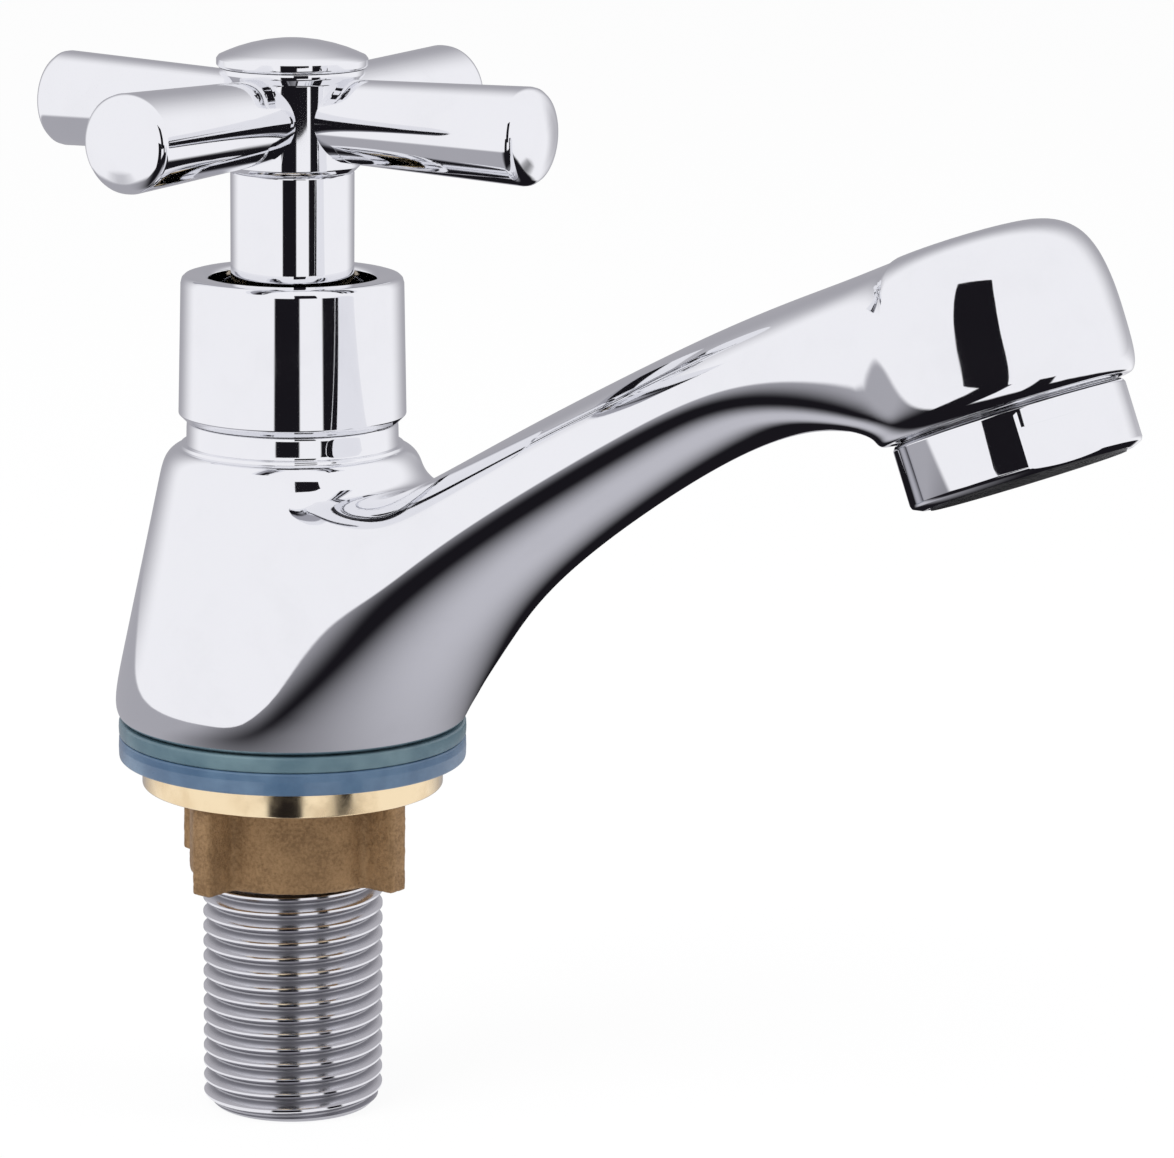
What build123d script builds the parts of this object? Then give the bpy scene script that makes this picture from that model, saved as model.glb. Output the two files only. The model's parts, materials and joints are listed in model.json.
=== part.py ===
from build123d import *
import math
import os

os.makedirs("parts", exist_ok=True)

# Basin pillar tap with a cross handle, for one water supply. Millimetres, +Z up.
# The origin is on the valve's axis at the top of the deck. +X runs along the spout.

# Pipe thread of the tail and the headwork, G 1/2
pipe_crest_r = 20.955 / 2
pipe_pitch = 1.814
pipe_depth = 1.162

# Fine thread of the outlet, 24 mm with 1 mm pitch
outlet_crest_r = 12.0
outlet_pitch = 1.0
outlet_depth = 0.6
outlet_turns = 5

# Clearances
thread_gap = 0.12
running_gap = 0.05
face_gap = 0.02
seat_gap = 0.15
press_gap = 0.03

# Rubber rings on both sides of the deck
ring_r = 20.15
ring_bore_gap = 0.3
deck_gasket_t = 1.85
under_washer_t = 2.65
ring_edge = 0.35

# Threaded tail
tail_below_deck = 44.3
tail_in_body = 10.2
tail_bore_r = 6.25
tail_lead = 1.2
tail_chamfer = 0.4
tail_turns = 24
tail_seal_t = 1.5

# Back nut
nut_flange_r = 17.45
nut_flange_t = 3.25
nut_boss_r = 12.1
nut_boss_h = 10.6
lug_reach_r = 16.2
lug_t = 2.6
lug_fillet = 0.8
nut_edge = 0.3
nut_lead = 0.5

# Body casting
foot_r = 19.8
base_r = 20.75
base_rise = 2.2
body_h = 31.95
shoulder_r = 15.3
shoulder_drop = 3.8
top_r = 13.3
step_r = 12.85
step_h = 0.45
neck_r = 12.15
neck_h = 3.1

# Valve chamber in the body
seat_depth = 19.9
gallery_r = 11.2
gallery_h = 8.5
port_r = 5.5
pipe_thread_len = 9.7
waterway_r = 3.4
waterway_bend_r = 30.0
waterway_knee = 30.0
waterway_drop = 3.4

# Spout, seen from the side: outlet head first
spout_reach = 97.2
spout_mouth_z = 49.3
outlet_tilt = 22.3
head_r = 14.3
head_lip_r = 13.9
head_h = 18.0
head_round = 4.6
head_lip_edge = 1.0
head_swell_low = 4.6
head_swell_high = 9.0
head_cavity_r = 9.2
head_cavity_h = 13.0
head_thread_h = 5.3

# Headwork
headwork_gasket_t = 0.8
hex_flats = 20.0
hex_h = 5.0
hex_face_w = 0.72
hex_face_t = 1.0
collar_r = 7.5
collar_h = 7.5
nose_r = 8.9
nose_bore_r = 8.15
nose_gap = 1.0
nose_shoulder_drop = 3.9
spindle_r = 4.0
disc_t = 2.6
disc_gap = 0.15
seat_seal_t = 2.0
disc_port_r = 5.6
disc_hub_r = 2.2
disc_key_w = 2.4
disc_key_r = 8.7
thrust_t = 0.6
driver_t = 2.6
driver_gap = 0.45
prong_w = 3.0
prong_l = 1.6
prong_mid_r = 6.6
prong_depth = 1.2
window_h = 3.6
window_w = 8.0
thread_start = 1.2
valve_turns = 5

# Spindle
groove_r = 2.9
groove_w = 2.0
groove_drop = 12.7
groove_step = 5.0
o_ring_section = 0.55
clip_t = 0.8
clip_r = 5.2
clip_seat_r = 3.5
clip_mouth = 5.0
spline_teeth = 20
spline_depth = 0.35
spline_len = 9.6

# Shroud
shroud_top_r = 12.75
shroud_bottom_r = 13.05
shroud_h = 16.8
shroud_inner_r = 11.8
shroud_round = 0.8
shroud_mouth_r = 9.6
shroud_lip_t = 3.2
shroud_web_t = 2.5
shroud_foot_chamfer = 0.85

# Handle
hub_r = 7.75
hub_h = 11.6
hub_above_shroud = 12.0
hub_edge = 0.6
hub_rim_r = 8.3
hub_rim_h = 0.9
spigot_h = 3.0
socket_roof_t = 2.5
cap_recess_r = 5.65
cap_recess_h = 2.8
arm_reach = 33.5
arm_dome = 1.2
arm_round = 1.0
arm_root_r = 4.6
arm_tip_r = 5.5
arm_drop = 5.6
arm_turn = 6.5
sleeve_r = 7.05
sleeve_wall = 0.8
sleeve_h = 14.2
sleeve_edge = 0.25

# Handle cap and screw
cap_r = 8.6
cap_rim_h = 1.4
cap_dome_h = 1.9
cap_skirt_r = 5.5
cap_skirt_h = 2.2
cap_wall = 1.3
cap_ring_section = 0.37
screw_r = 2.0
screw_len = 12.0
screw_head_r = 3.5
screw_head_h = 1.3
screw_key_flats = 2.5
screw_hole_depth = 11.0

# Aerator
aerator_r = 12.45
aerator_h = 7.45
aerator_seam = 0.2
aerator_chamfer = 0.8
aerator_edge = 1.3
aerator_thread_h = 5.0
aerator_bore_r = 10.9
aerator_mouth_r = 10.55
aerator_ledge_h = 2.0
flat_h = 4.8
flat_across = 23.4
flat_turn = -34.0
cage_wall = 0.8
cage_stand_out = 0.2
grid_t = 1.5
grid_hole_r = 0.55
grid_pitch = 1.75
grid_rings = 9
screen_t = 0.3
screen_gap = 0.9
screen_hole = 1.1
screen_pitch = 1.8
screen_count = 7
screen_low_s = -1.0
plate_t = 1.0
plate_hole_r = 0.9
plate_hole_ring_r = 6.5
plate_holes = 12
aerator_seal_t = 1.5
aerator_seal_w = 2.6


# Heights that follow from the sizes above
foot_z = deck_gasket_t
body_top_z = foot_z + body_h
neck_top_z = body_top_z + neck_h
tail_bottom_z = -tail_below_deck
tail_top_z = foot_z + tail_in_body
tail_seat_z = tail_top_z + tail_seal_t
seat_z = neck_top_z - seat_depth
fixed_disc_z = seat_z + seat_seal_t
moving_disc_z = fixed_disc_z + disc_t
moving_top_z = moving_disc_z + disc_t
nose_shoulder_z = neck_top_z - nose_shoulder_drop
hex_z = neck_top_z + headwork_gasket_t
hex_top_z = hex_z + hex_h
collar_top_z = hex_top_z + collar_h
driver_top_z = nose_shoulder_z - thrust_t - face_gap
driver_z = driver_top_z - driver_t
shroud_top_z = neck_top_z + shroud_h
hub_z = shroud_top_z + hub_above_shroud
hub_top_z = hub_z + hub_h
arm_z = hub_top_z - arm_drop
spindle_top_z = hub_top_z - cap_recess_h - socket_roof_t - seat_gap
nut_top_z = -under_washer_t - face_gap
nut_flange_z = nut_top_z - nut_flange_t
nut_bottom_z = nut_flange_z - nut_boss_h

neck_thread_z = neck_top_z - pipe_thread_len
male_thread_z = neck_thread_z + thread_start
nose_z = seat_z + nose_gap
window_z = moving_top_z + 2 * seat_gap
groove_low_z = hex_top_z + collar_h - groove_drop
clip_z = collar_top_z + running_gap
spline_z = spindle_top_z - spline_len
socket_top_z = hub_top_z - cap_recess_h - socket_roof_t
screw_seat_z = hub_top_z - cap_recess_h
cap_top_z = hub_top_z + cap_rim_h + cap_dome_h
cap_groove_z = hub_top_z - cap_skirt_h + 0.7
aerator_top = -aerator_seam
ledge_s = aerator_ledge_h - aerator_h
cage_foot_s = -aerator_h - cage_stand_out
cage_seat_s = ledge_s + face_gap

disc_r = nose_bore_r - disc_gap
driver_r = nose_bore_r - driver_gap
cap_groove_r = cap_recess_r - 2 * cap_ring_section
cage_r = aerator_bore_r - running_gap
arm_edge_x = arm_reach - arm_dome - arm_round
pipe_root_r = pipe_crest_r - pipe_depth
pipe_socket_r = pipe_crest_r + thread_gap
outlet_root_r = outlet_crest_r - outlet_depth
outlet_socket_r = outlet_crest_r + thread_gap
ring_bore_r = pipe_crest_r + ring_bore_gap
hex_face_r = ring_bore_r + hex_face_w
mouth_clear_r = head_lip_r + 1.5 * head_lip_edge
chamber_r = pipe_root_r + thread_gap

# The outlet's own frame: its origin is at the mouth of the head, and its Z runs up into the head
tilt = math.radians(outlet_tilt)
outlet = Plane(
    origin=(spout_reach, 0, spout_mouth_z),
    x_dir=(math.cos(tilt), 0, math.sin(tilt)),
    z_dir=(-math.sin(tilt), 0, math.cos(tilt)),
)


def thread_side(crest_r, root_r, pitch, bottom, turns):
    """Points up the side of an outer thread, drawn as one groove for each turn."""
    points = []
    for turn in range(turns):
        z = bottom + turn * pitch
        points += [(root_r, z), (root_r, z + 0.12 * pitch), (crest_r, z + 0.44 * pitch)]
        points += [(crest_r, z + 0.68 * pitch), (root_r, z + pitch)]
    return points


def ring(inner_r, outer_r, bottom, top, base=Plane.XY, edge=0.0):
    """A flat ring between two heights, with its outer edges rounded where an edge is given."""
    with BuildPart() as flat_ring:
        with BuildSketch(base.offset(bottom)):
            Circle(outer_r)
            Circle(inner_r, mode=Mode.SUBTRACT)
        extrude(amount=top - bottom)
        if edge:
            fillet(flat_ring.edges().filter_by(GeomType.CIRCLE).group_by(SortBy.RADIUS)[-1], edge)
    return flat_ring.part


def half_oval(half_length, half_width, low_power, high_power):
    """Points of half an oval along X, on its +Y side. Higher powers give squarer corners."""
    steps = 12
    points = [(half_length, 0)]
    for step in range(1, steps):
        angle = math.pi * step / steps
        along = math.cos(angle)
        power = 2 / (high_power if along > 0 else low_power)
        x = math.copysign(abs(along) ** power, along) * half_length
        points.append((x, math.sin(angle) ** power * half_width))
    points.append((-half_length, 0))
    return points


def spline_outline(outer_r, inner_r, teeth):
    """Corners of a toothed outline, two for each tooth and two for each gap."""
    points = []
    for tooth in range(teeth):
        for share, radius in ((0.1, outer_r), (0.4, outer_r), (0.6, inner_r), (0.9, inner_r)):
            angle = 2 * math.pi * (tooth + share) / teeth
            points.append((radius * math.cos(angle), radius * math.sin(angle)))
    return points


# Body casting: a turned base and neck, a lofted spout and a round outlet head.
# It is built as the half on the +Y side and mirrored.
def outlet_point(across, height):
    """A point in the spout's middle plane, across from the outlet's axis and above the mouth."""
    x = spout_reach + across * math.cos(tilt) - height * math.sin(tilt)
    return (x, spout_mouth_z + across * math.sin(tilt) + height * math.cos(tilt))


# Each station of the spout: its lower point, its upper point, both as (x, z), its half width,
# and how square it is below and above.
spout_stations = [
    ((foot_r, foot_z), (-foot_r, foot_z), foot_r, 2.0, 2.0),
    ((base_r + 2.9, foot_z + 4.4), (-foot_r, foot_z + 4.4), foot_r + 0.2, 2.0, 2.0),
    ((26.3, foot_z + 10.8), (-17.4, foot_z + 15.4), 18.6, 2.0, 2.0),
    ((31.9, foot_z + 17.8), (-12.0, foot_z + 27.4), 15.8, 2.0, 2.0),
    ((40.2, foot_z + 24.9), (4.0, foot_z + 30.2), 13.2, 2.3, 2.0),
    ((49.6, foot_z + 31.2), (32.0, foot_z + 36.7), 11.0, 2.8, 2.2),
    ((58.2, foot_z + 36.2), (50.8, foot_z + 46.6), 10.0, 3.0, 2.4),
    ((67.5, foot_z + 40.8), (62.9, foot_z + 52.6), 10.6, 3.0, 2.6),
    ((77.0, foot_z + 43.6), (74.0, foot_z + 57.7), 12.4, 3.4, 3.0),
    (outlet_point(3.0, 0.6), outlet_point(3.0, head_h - 1.2), head_r - 1.1, 5.0, 4.0),
]

with BuildPart() as spout_half:
    for low, high, half_width, low_power, high_power in spout_stations:
        run = (high[0] - low[0], high[1] - low[1])
        length = math.hypot(*run)
        middle = ((low[0] + high[0]) / 2, 0, (low[1] + high[1]) / 2)
        with BuildSketch(Plane(origin=middle, x_dir=(run[0], 0, run[1]), z_dir=(-run[1], 0, run[0]))):
            with BuildLine():
                side = half_oval(length / 2, half_width, low_power, high_power)
                Spline(*side, tangents=((0, 1), (0, -1)))
                Line(side[-1], side[0])
            make_face()
    loft()

with BuildPart() as body_half:
    # base, shoulder and neck
    with BuildSketch(Plane.XZ):
        with BuildLine():
            Line((0, foot_z), (foot_r, foot_z))
            ThreePointArc(
                (foot_r, foot_z),
                (base_r - 0.25, foot_z + base_rise * 0.55),
                (base_r, foot_z + base_rise),
            )
            Line((base_r, foot_z + base_rise), (shoulder_r, body_top_z - shoulder_drop))
            ThreePointArc(
                (shoulder_r, body_top_z - shoulder_drop),
                (shoulder_r - 0.62, body_top_z - 1.1),
                (top_r, body_top_z),
            )
            Polyline(
                (top_r, body_top_z),
                (step_r, body_top_z),
                (step_r, body_top_z + step_h),
                (neck_r, body_top_z + step_h),
                (neck_r, neck_top_z),
                (0, neck_top_z),
                (0, foot_z),
            )
        make_face()
    revolve(axis=Axis.Z, revolution_arc=180)
    add(spout_half.part)
    # outlet head
    with BuildSketch(Plane(outlet.origin, x_dir=outlet.x_dir, z_dir=(0, -1, 0))):
        with BuildLine():
            Polyline((0, 0), (head_lip_r - head_lip_edge, 0), (head_lip_r, head_lip_edge))
            Spline(
                (head_lip_r, head_lip_edge),
                (head_r, head_swell_low),
                (head_r, head_swell_high),
                (head_r - 0.35, head_h - head_round),
            )
            ThreePointArc(
                (head_r - 0.35, head_h - head_round),
                (head_r - 0.35 - 0.33 * head_round, head_h - 0.31 * head_round),
                (head_r - 0.35 - head_round, head_h),
            )
            Polyline((head_r - 0.35 - head_round, head_h), (0, head_h), (0, 0))
        make_face()
    revolve(axis=Axis(outlet.origin, outlet.z_dir), revolution_arc=180)

with BuildPart() as tap_body:
    add(body_half.part)
    mirror(about=Plane.XZ)
    # socket for the tail, and the inlet port
    with BuildSketch(Plane.XY.offset(foot_z)):
        Circle(pipe_socket_r)
    extrude(amount=tail_seat_z - foot_z, mode=Mode.SUBTRACT)
    with BuildSketch(Plane.XY.offset(tail_seat_z)):
        Circle(port_r)
    extrude(amount=seat_z - tail_seat_z, mode=Mode.SUBTRACT)
    # valve chamber, its gallery, and the socket for the headwork
    with BuildSketch(Plane.XY.offset(seat_z)):
        Circle(chamber_r)
    extrude(amount=seat_depth, mode=Mode.SUBTRACT)
    with BuildSketch(Plane.XY.offset(seat_z + nose_gap)):
        Circle(gallery_r)
    extrude(amount=gallery_h, mode=Mode.SUBTRACT)
    with BuildSketch(Plane.XY.offset(neck_thread_z)):
        Circle(pipe_socket_r)
    extrude(amount=pipe_thread_len, mode=Mode.SUBTRACT)
    # outlet: nothing of the spout below the mouth, then socket, seal seat and cavity
    with BuildSketch(outlet.offset(-aerator_h)):
        Circle(mouth_clear_r)
    extrude(amount=aerator_h, mode=Mode.SUBTRACT)
    with BuildSketch(outlet):
        Circle(outlet_socket_r)
    extrude(amount=head_thread_h, mode=Mode.SUBTRACT)
    with BuildSketch(outlet.offset(head_thread_h)):
        Circle(outlet_root_r + thread_gap)
    extrude(amount=aerator_thread_h + aerator_seal_t - head_thread_h, mode=Mode.SUBTRACT)
    with BuildSketch(outlet.offset(aerator_thread_h + aerator_seal_t)):
        Circle(head_cavity_r)
    extrude(amount=head_cavity_h - aerator_thread_h - aerator_seal_t, mode=Mode.SUBTRACT)
    # waterway through the spout
    with BuildLine(Plane.XZ) as waterway:
        FilletPolyline(
            (gallery_r - 1.0, seat_z + nose_gap + gallery_h / 2),
            (waterway_knee, body_top_z - waterway_drop),
            outlet_point(0, head_cavity_h - 1.0),
            radius=waterway_bend_r,
        )
    with BuildSketch(Plane(waterway.line @ 0, z_dir=waterway.line % 0)):
        Circle(waterway_r)
    sweep(path=waterway.line, mode=Mode.SUBTRACT)
tap_body.part.label = "tap_body"
export_step(tap_body.part, "parts/tap_body.step")


# Tail and the pieces under the deck
tail_thread_z = tail_bottom_z + tail_lead
tail_thread_end_z = tail_thread_z + tail_turns * pipe_pitch
with BuildPart() as inlet_shank:
    with BuildSketch(Plane.XZ):
        Polygon(
            (tail_bore_r, tail_bottom_z),
            (pipe_root_r - tail_chamfer, tail_bottom_z),
            (pipe_root_r, tail_bottom_z + tail_chamfer),
            *thread_side(pipe_crest_r, pipe_root_r, pipe_pitch, tail_thread_z, tail_turns),
            (pipe_crest_r, tail_thread_end_z + tail_chamfer),
            (pipe_crest_r, tail_top_z),
            (tail_bore_r, tail_top_z),
            align=None,
        )
    revolve(axis=Axis.Z)
inlet_shank.part.label = "inlet_shank"
export_step(inlet_shank.part, "parts/inlet_shank.step")

tail_seal = ring(port_r + 0.5, pipe_root_r - seat_gap, tail_top_z, tail_seat_z)
tail_seal.label = "tail_seal"
export_step(tail_seal, "parts/tail_seal.step")

deck_gasket = ring(ring_bore_r, ring_r, 0, deck_gasket_t, edge=ring_edge)
deck_gasket.label = "deck_gasket"
export_step(deck_gasket, "parts/deck_gasket.step")

under_deck_washer = ring(ring_bore_r, ring_r, -under_washer_t, -face_gap, edge=ring_edge)
under_deck_washer.label = "under_deck_washer"
export_step(under_deck_washer, "parts/under_deck_washer.step")

with BuildPart() as back_nut:
    with BuildSketch(Plane.XY.offset(nut_flange_z)):
        Circle(nut_flange_r)
    extrude(amount=nut_flange_t)
    chamfer(back_nut.edges().filter_by(GeomType.CIRCLE), nut_edge)
    with BuildSketch(Plane.XY.offset(nut_bottom_z)):
        Circle(nut_boss_r)
    extrude(amount=nut_boss_h)
    with BuildSketch(Plane.XY.offset(nut_bottom_z)) as lugs:
        Rectangle(2 * lug_reach_r, lug_t)
        Rectangle(lug_t, 2 * lug_reach_r)
        fillet(lugs.vertices().sort_by(SortBy.DISTANCE)[-8:], lug_fillet)
    extrude(amount=nut_boss_h)
    # bore with a chamfer at each end
    with BuildSketch(Plane.XZ):
        Polygon(
            (0, nut_bottom_z),
            (pipe_socket_r + nut_lead, nut_bottom_z),
            (pipe_socket_r, nut_bottom_z + nut_lead),
            (pipe_socket_r, nut_top_z - nut_lead),
            (pipe_socket_r + nut_lead, nut_top_z),
            (0, nut_top_z),
            align=None,
        )
    revolve(axis=Axis.Z, mode=Mode.SUBTRACT)
back_nut.part.label = "back_nut"
export_step(back_nut.part, "parts/back_nut.step")


# Headwork
with BuildPart() as headwork_body:
    with BuildSketch(Plane.XZ):
        Polygon(
            (0, male_thread_z),
            *thread_side(pipe_crest_r, pipe_root_r, pipe_pitch, male_thread_z, valve_turns),
            (pipe_root_r, hex_z),
            (0, hex_z),
            align=None,
        )
    revolve(axis=Axis.Z)
    with BuildSketch(Plane.XY.offset(nose_z)):
        Circle(nose_r)
    extrude(amount=hex_z - nose_z)
    with BuildSketch(Plane.XY.offset(hex_z)):
        Circle(hex_face_r)
    extrude(amount=hex_face_t)
    with BuildSketch(Plane.XY.offset(hex_z)):
        RegularPolygon(hex_flats / 2, 6, major_radius=False)
    extrude(amount=hex_h)
    with BuildSketch(Plane.XY.offset(hex_z)):
        Circle(collar_r)
    extrude(amount=collar_top_z - hex_z)
    with BuildSketch(Plane.XY.offset(nose_z)):
        Circle(nose_bore_r)
    extrude(amount=nose_shoulder_z - nose_z, mode=Mode.SUBTRACT)
    with BuildSketch(Plane.XY.offset(nose_shoulder_z)):
        Circle(spindle_r + running_gap)
    extrude(amount=collar_top_z - nose_shoulder_z, mode=Mode.SUBTRACT)
    # side windows for the water, and notches for the keys of the fixed disc
    with BuildSketch(Plane.XY.offset(window_z)):
        Rectangle(4 * nose_r, window_w)
    extrude(amount=window_h, mode=Mode.SUBTRACT)
    with BuildSketch(Plane.XY.offset(nose_z)):
        Rectangle(disc_key_w + 2 * running_gap, 2 * nose_r + 1)
    extrude(amount=moving_disc_z - nose_z, mode=Mode.SUBTRACT)
headwork_body.part.label = "headwork_body"
export_step(headwork_body.part, "parts/headwork_body.step")

headwork_gasket = ring(ring_bore_r, hex_face_r, neck_top_z, hex_z)
headwork_gasket.label = "headwork_gasket"
export_step(headwork_gasket, "parts/headwork_gasket.step")

seat_seal = ring(disc_port_r + seat_gap, disc_r, seat_z, fixed_disc_z)
seat_seal.label = "seat_seal"
export_step(seat_seal, "parts/seat_seal.step")

# Ceramic discs: the ports lie across each other at rest, so the tap is closed
port_mid_r = (disc_port_r + disc_hub_r) / 2
fixed_port_arcs = [CenterArc((0, 0), port_mid_r, turn - 35, 70) for turn in (0, 180)]
moving_port_arcs = [CenterArc((0, 0), port_mid_r, turn - 35, 70) for turn in (90, 270)]

with BuildPart() as fixed_disc:
    with BuildSketch(Plane.XY.offset(fixed_disc_z)):
        Circle(disc_r)
        Rectangle(disc_key_w, 2 * disc_key_r)
        for arc in fixed_port_arcs:
            SlotArc(arc, disc_port_r - disc_hub_r, mode=Mode.SUBTRACT)
    extrude(amount=disc_t)
fixed_disc.part.label = "fixed_disc"
export_step(fixed_disc.part, "parts/fixed_disc.step")

with BuildPart() as moving_disc:
    with BuildSketch(Plane.XY.offset(moving_disc_z + face_gap)):
        Circle(disc_r)
        for arc in moving_port_arcs:
            SlotArc(arc, disc_port_r - disc_hub_r, mode=Mode.SUBTRACT)
    extrude(amount=disc_t - face_gap)
    with BuildSketch(Plane.XY.offset(moving_top_z - prong_depth)):
        with Locations((prong_mid_r, 0), (-prong_mid_r, 0)):
            Rectangle(prong_l + 2 * running_gap, prong_w + 2 * running_gap)
    extrude(amount=prong_depth, mode=Mode.SUBTRACT)
moving_disc.part.label = "moving_disc"
export_step(moving_disc.part, "parts/moving_disc.step")

with BuildPart() as spindle:
    with BuildSketch(Plane.XY.offset(moving_top_z - prong_depth + face_gap)):
        with Locations((prong_mid_r, 0), (-prong_mid_r, 0)):
            Rectangle(prong_l, prong_w)
    extrude(amount=driver_top_z - moving_top_z + prong_depth - face_gap)
    with BuildSketch(Plane.XY.offset(driver_z)):
        Circle(driver_r)
    extrude(amount=driver_t)
    with BuildSketch(Plane.XY.offset(driver_z)):
        Circle(spindle_r)
    extrude(amount=spline_z - driver_z)
    with BuildSketch(Plane.XY.offset(spline_z)):
        Polygon(*spline_outline(spindle_r, spindle_r - spline_depth, spline_teeth), align=None)
    extrude(amount=spline_len)
    # grooves for the rubber rings and for the clip
    for groove_z in (groove_low_z, groove_low_z + groove_step):
        with BuildSketch(Plane.XY.offset(groove_z)):
            Circle(spindle_r + 1)
            Circle(groove_r, mode=Mode.SUBTRACT)
        extrude(amount=groove_w, mode=Mode.SUBTRACT)
    with BuildSketch(Plane.XY.offset(clip_z - running_gap)):
        Circle(spindle_r + 1)
        Circle(clip_seat_r, mode=Mode.SUBTRACT)
    extrude(amount=clip_t + 2 * running_gap, mode=Mode.SUBTRACT)
    # tapped hole for the handle's screw
    with BuildSketch(Plane.XY.offset(spindle_top_z - screw_hole_depth)):
        Circle(screw_r + running_gap)
    extrude(amount=screw_hole_depth, mode=Mode.SUBTRACT)
spindle.part.label = "spindle"
export_step(spindle.part, "parts/spindle.step")

with BuildPart() as spindle_o_rings:
    for groove_z in (groove_low_z, groove_low_z + groove_step):
        with BuildSketch(Plane.XZ):
            with Locations((groove_r + o_ring_section, groove_z + groove_w / 2)):
                Circle(o_ring_section - running_gap / 5)
    revolve(axis=Axis.Z)
spindle_o_rings.part.label = "spindle_o_rings"
export_step(spindle_o_rings.part, "parts/spindle_o_rings.step")

thrust_washer = ring(spindle_r + seat_gap, disc_r - seat_gap, driver_top_z, nose_shoulder_z - face_gap)
thrust_washer.label = "thrust_washer"
export_step(thrust_washer, "parts/thrust_washer.step")

with BuildPart() as spindle_clip:
    with BuildSketch(Plane.XY.offset(clip_z)):
        Circle(clip_r)
        Circle(clip_seat_r + running_gap, mode=Mode.SUBTRACT)
        with Locations((clip_r, 0)):
            Rectangle(2 * clip_r, clip_mouth, mode=Mode.SUBTRACT)
    extrude(amount=clip_t)
spindle_clip.part.label = "spindle_clip"
export_step(spindle_clip.part, "parts/spindle_clip.step")


# Cover of the headwork: a skirt round the hexagon, a web on top of it, and a cup above
with BuildPart() as headwork_shroud:
    with BuildSketch(Plane.XZ):
        with BuildLine():
            Polyline(
                (shroud_inner_r, neck_top_z),
                (shroud_bottom_r - shroud_foot_chamfer, neck_top_z),
                (shroud_bottom_r, neck_top_z + shroud_foot_chamfer),
                (shroud_top_r, shroud_top_z - shroud_round),
            )
            ThreePointArc(
                (shroud_top_r, shroud_top_z - shroud_round),
                (shroud_top_r - 0.3 * shroud_round, shroud_top_z - 0.3 * shroud_round),
                (shroud_top_r - shroud_round, shroud_top_z),
            )
            Polyline(
                (shroud_top_r - shroud_round, shroud_top_z),
                (shroud_mouth_r, shroud_top_z),
                (shroud_mouth_r, shroud_top_z - shroud_lip_t),
                (shroud_inner_r - 0.8, shroud_top_z - shroud_lip_t),
                (shroud_inner_r - 0.8, hex_top_z + shroud_web_t),
                (collar_r + press_gap, hex_top_z + shroud_web_t),
                (collar_r + press_gap, hex_top_z),
                (shroud_inner_r, hex_top_z),
                (shroud_inner_r, neck_top_z),
            )
        make_face()
    revolve(axis=Axis.Z)
headwork_shroud.part.label = "headwork_shroud"
export_step(headwork_shroud.part, "parts/headwork_shroud.step")


# Handle
with BuildPart() as stem_sleeve:
    with BuildSketch(Plane.XY.offset(hub_z - sleeve_h)):
        Circle(sleeve_r)
        Circle(sleeve_r - sleeve_wall, mode=Mode.SUBTRACT)
    extrude(amount=sleeve_h)
    chamfer(stem_sleeve.edges().filter_by(GeomType.CIRCLE).group_by(SortBy.RADIUS)[-1], sleeve_edge)
stem_sleeve.part.label = "stem_sleeve"
export_step(stem_sleeve.part, "parts/stem_sleeve.step")

with BuildPart() as cross_handle:
    with BuildSketch(Plane.XZ):
        with BuildLine():
            Polyline(
                (0, hub_z - spigot_h),
                (sleeve_r - sleeve_wall - press_gap, hub_z - spigot_h),
                (sleeve_r - sleeve_wall - press_gap, hub_z),
                (hub_r - hub_edge, hub_z),
                (hub_r, hub_z + hub_edge),
                (hub_r, hub_top_z - hub_rim_h - 0.4),
                (hub_rim_r, hub_top_z - hub_rim_h + 0.3),
                (hub_rim_r, hub_top_z),
                (0, hub_top_z),
                close=True,
            )
        make_face()
    revolve(axis=Axis.Z)
    # four arms, each turned about its own axis
    for quarter in range(4):
        turn = math.radians(arm_turn + 90 * quarter)
        along = (math.cos(turn), math.sin(turn), 0)
        with BuildSketch(Plane(origin=(0, 0, arm_z), x_dir=along, z_dir=(along[1], -along[0], 0))):
            with BuildLine():
                Polyline((hub_r / 2, 0), (hub_r / 2, arm_root_r), (arm_edge_x, arm_tip_r))
                ThreePointArc(
                    (arm_edge_x, arm_tip_r),
                    (arm_edge_x + 0.7 * arm_round, arm_tip_r - 0.3 * arm_round),
                    (arm_edge_x + arm_round, arm_tip_r - arm_round),
                )
                TangentArc((arm_reach, 0), (arm_edge_x + arm_round, arm_tip_r - arm_round), tangent=(0, 1))
                Line((arm_reach, 0), (hub_r / 2, 0))
            make_face()
        revolve(axis=Axis((0, 0, arm_z), along))
    # splined socket, screw hole and recess for the cap
    with BuildSketch(Plane.XY.offset(hub_z - spigot_h)):
        Polygon(
            *spline_outline(spindle_r + running_gap, spindle_r - spline_depth + running_gap, spline_teeth),
            align=None,
        )
    extrude(amount=socket_top_z - hub_z + spigot_h, mode=Mode.SUBTRACT)
    with BuildSketch(Plane.XY.offset(socket_top_z)):
        Circle(screw_r + seat_gap)
    extrude(amount=socket_roof_t, mode=Mode.SUBTRACT)
    with BuildSketch(Plane.XY.offset(hub_top_z - cap_recess_h)):
        Circle(cap_recess_r)
    extrude(amount=cap_recess_h, mode=Mode.SUBTRACT)
cross_handle.part.label = "cross_handle"
export_step(cross_handle.part, "parts/cross_handle.step")

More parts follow.
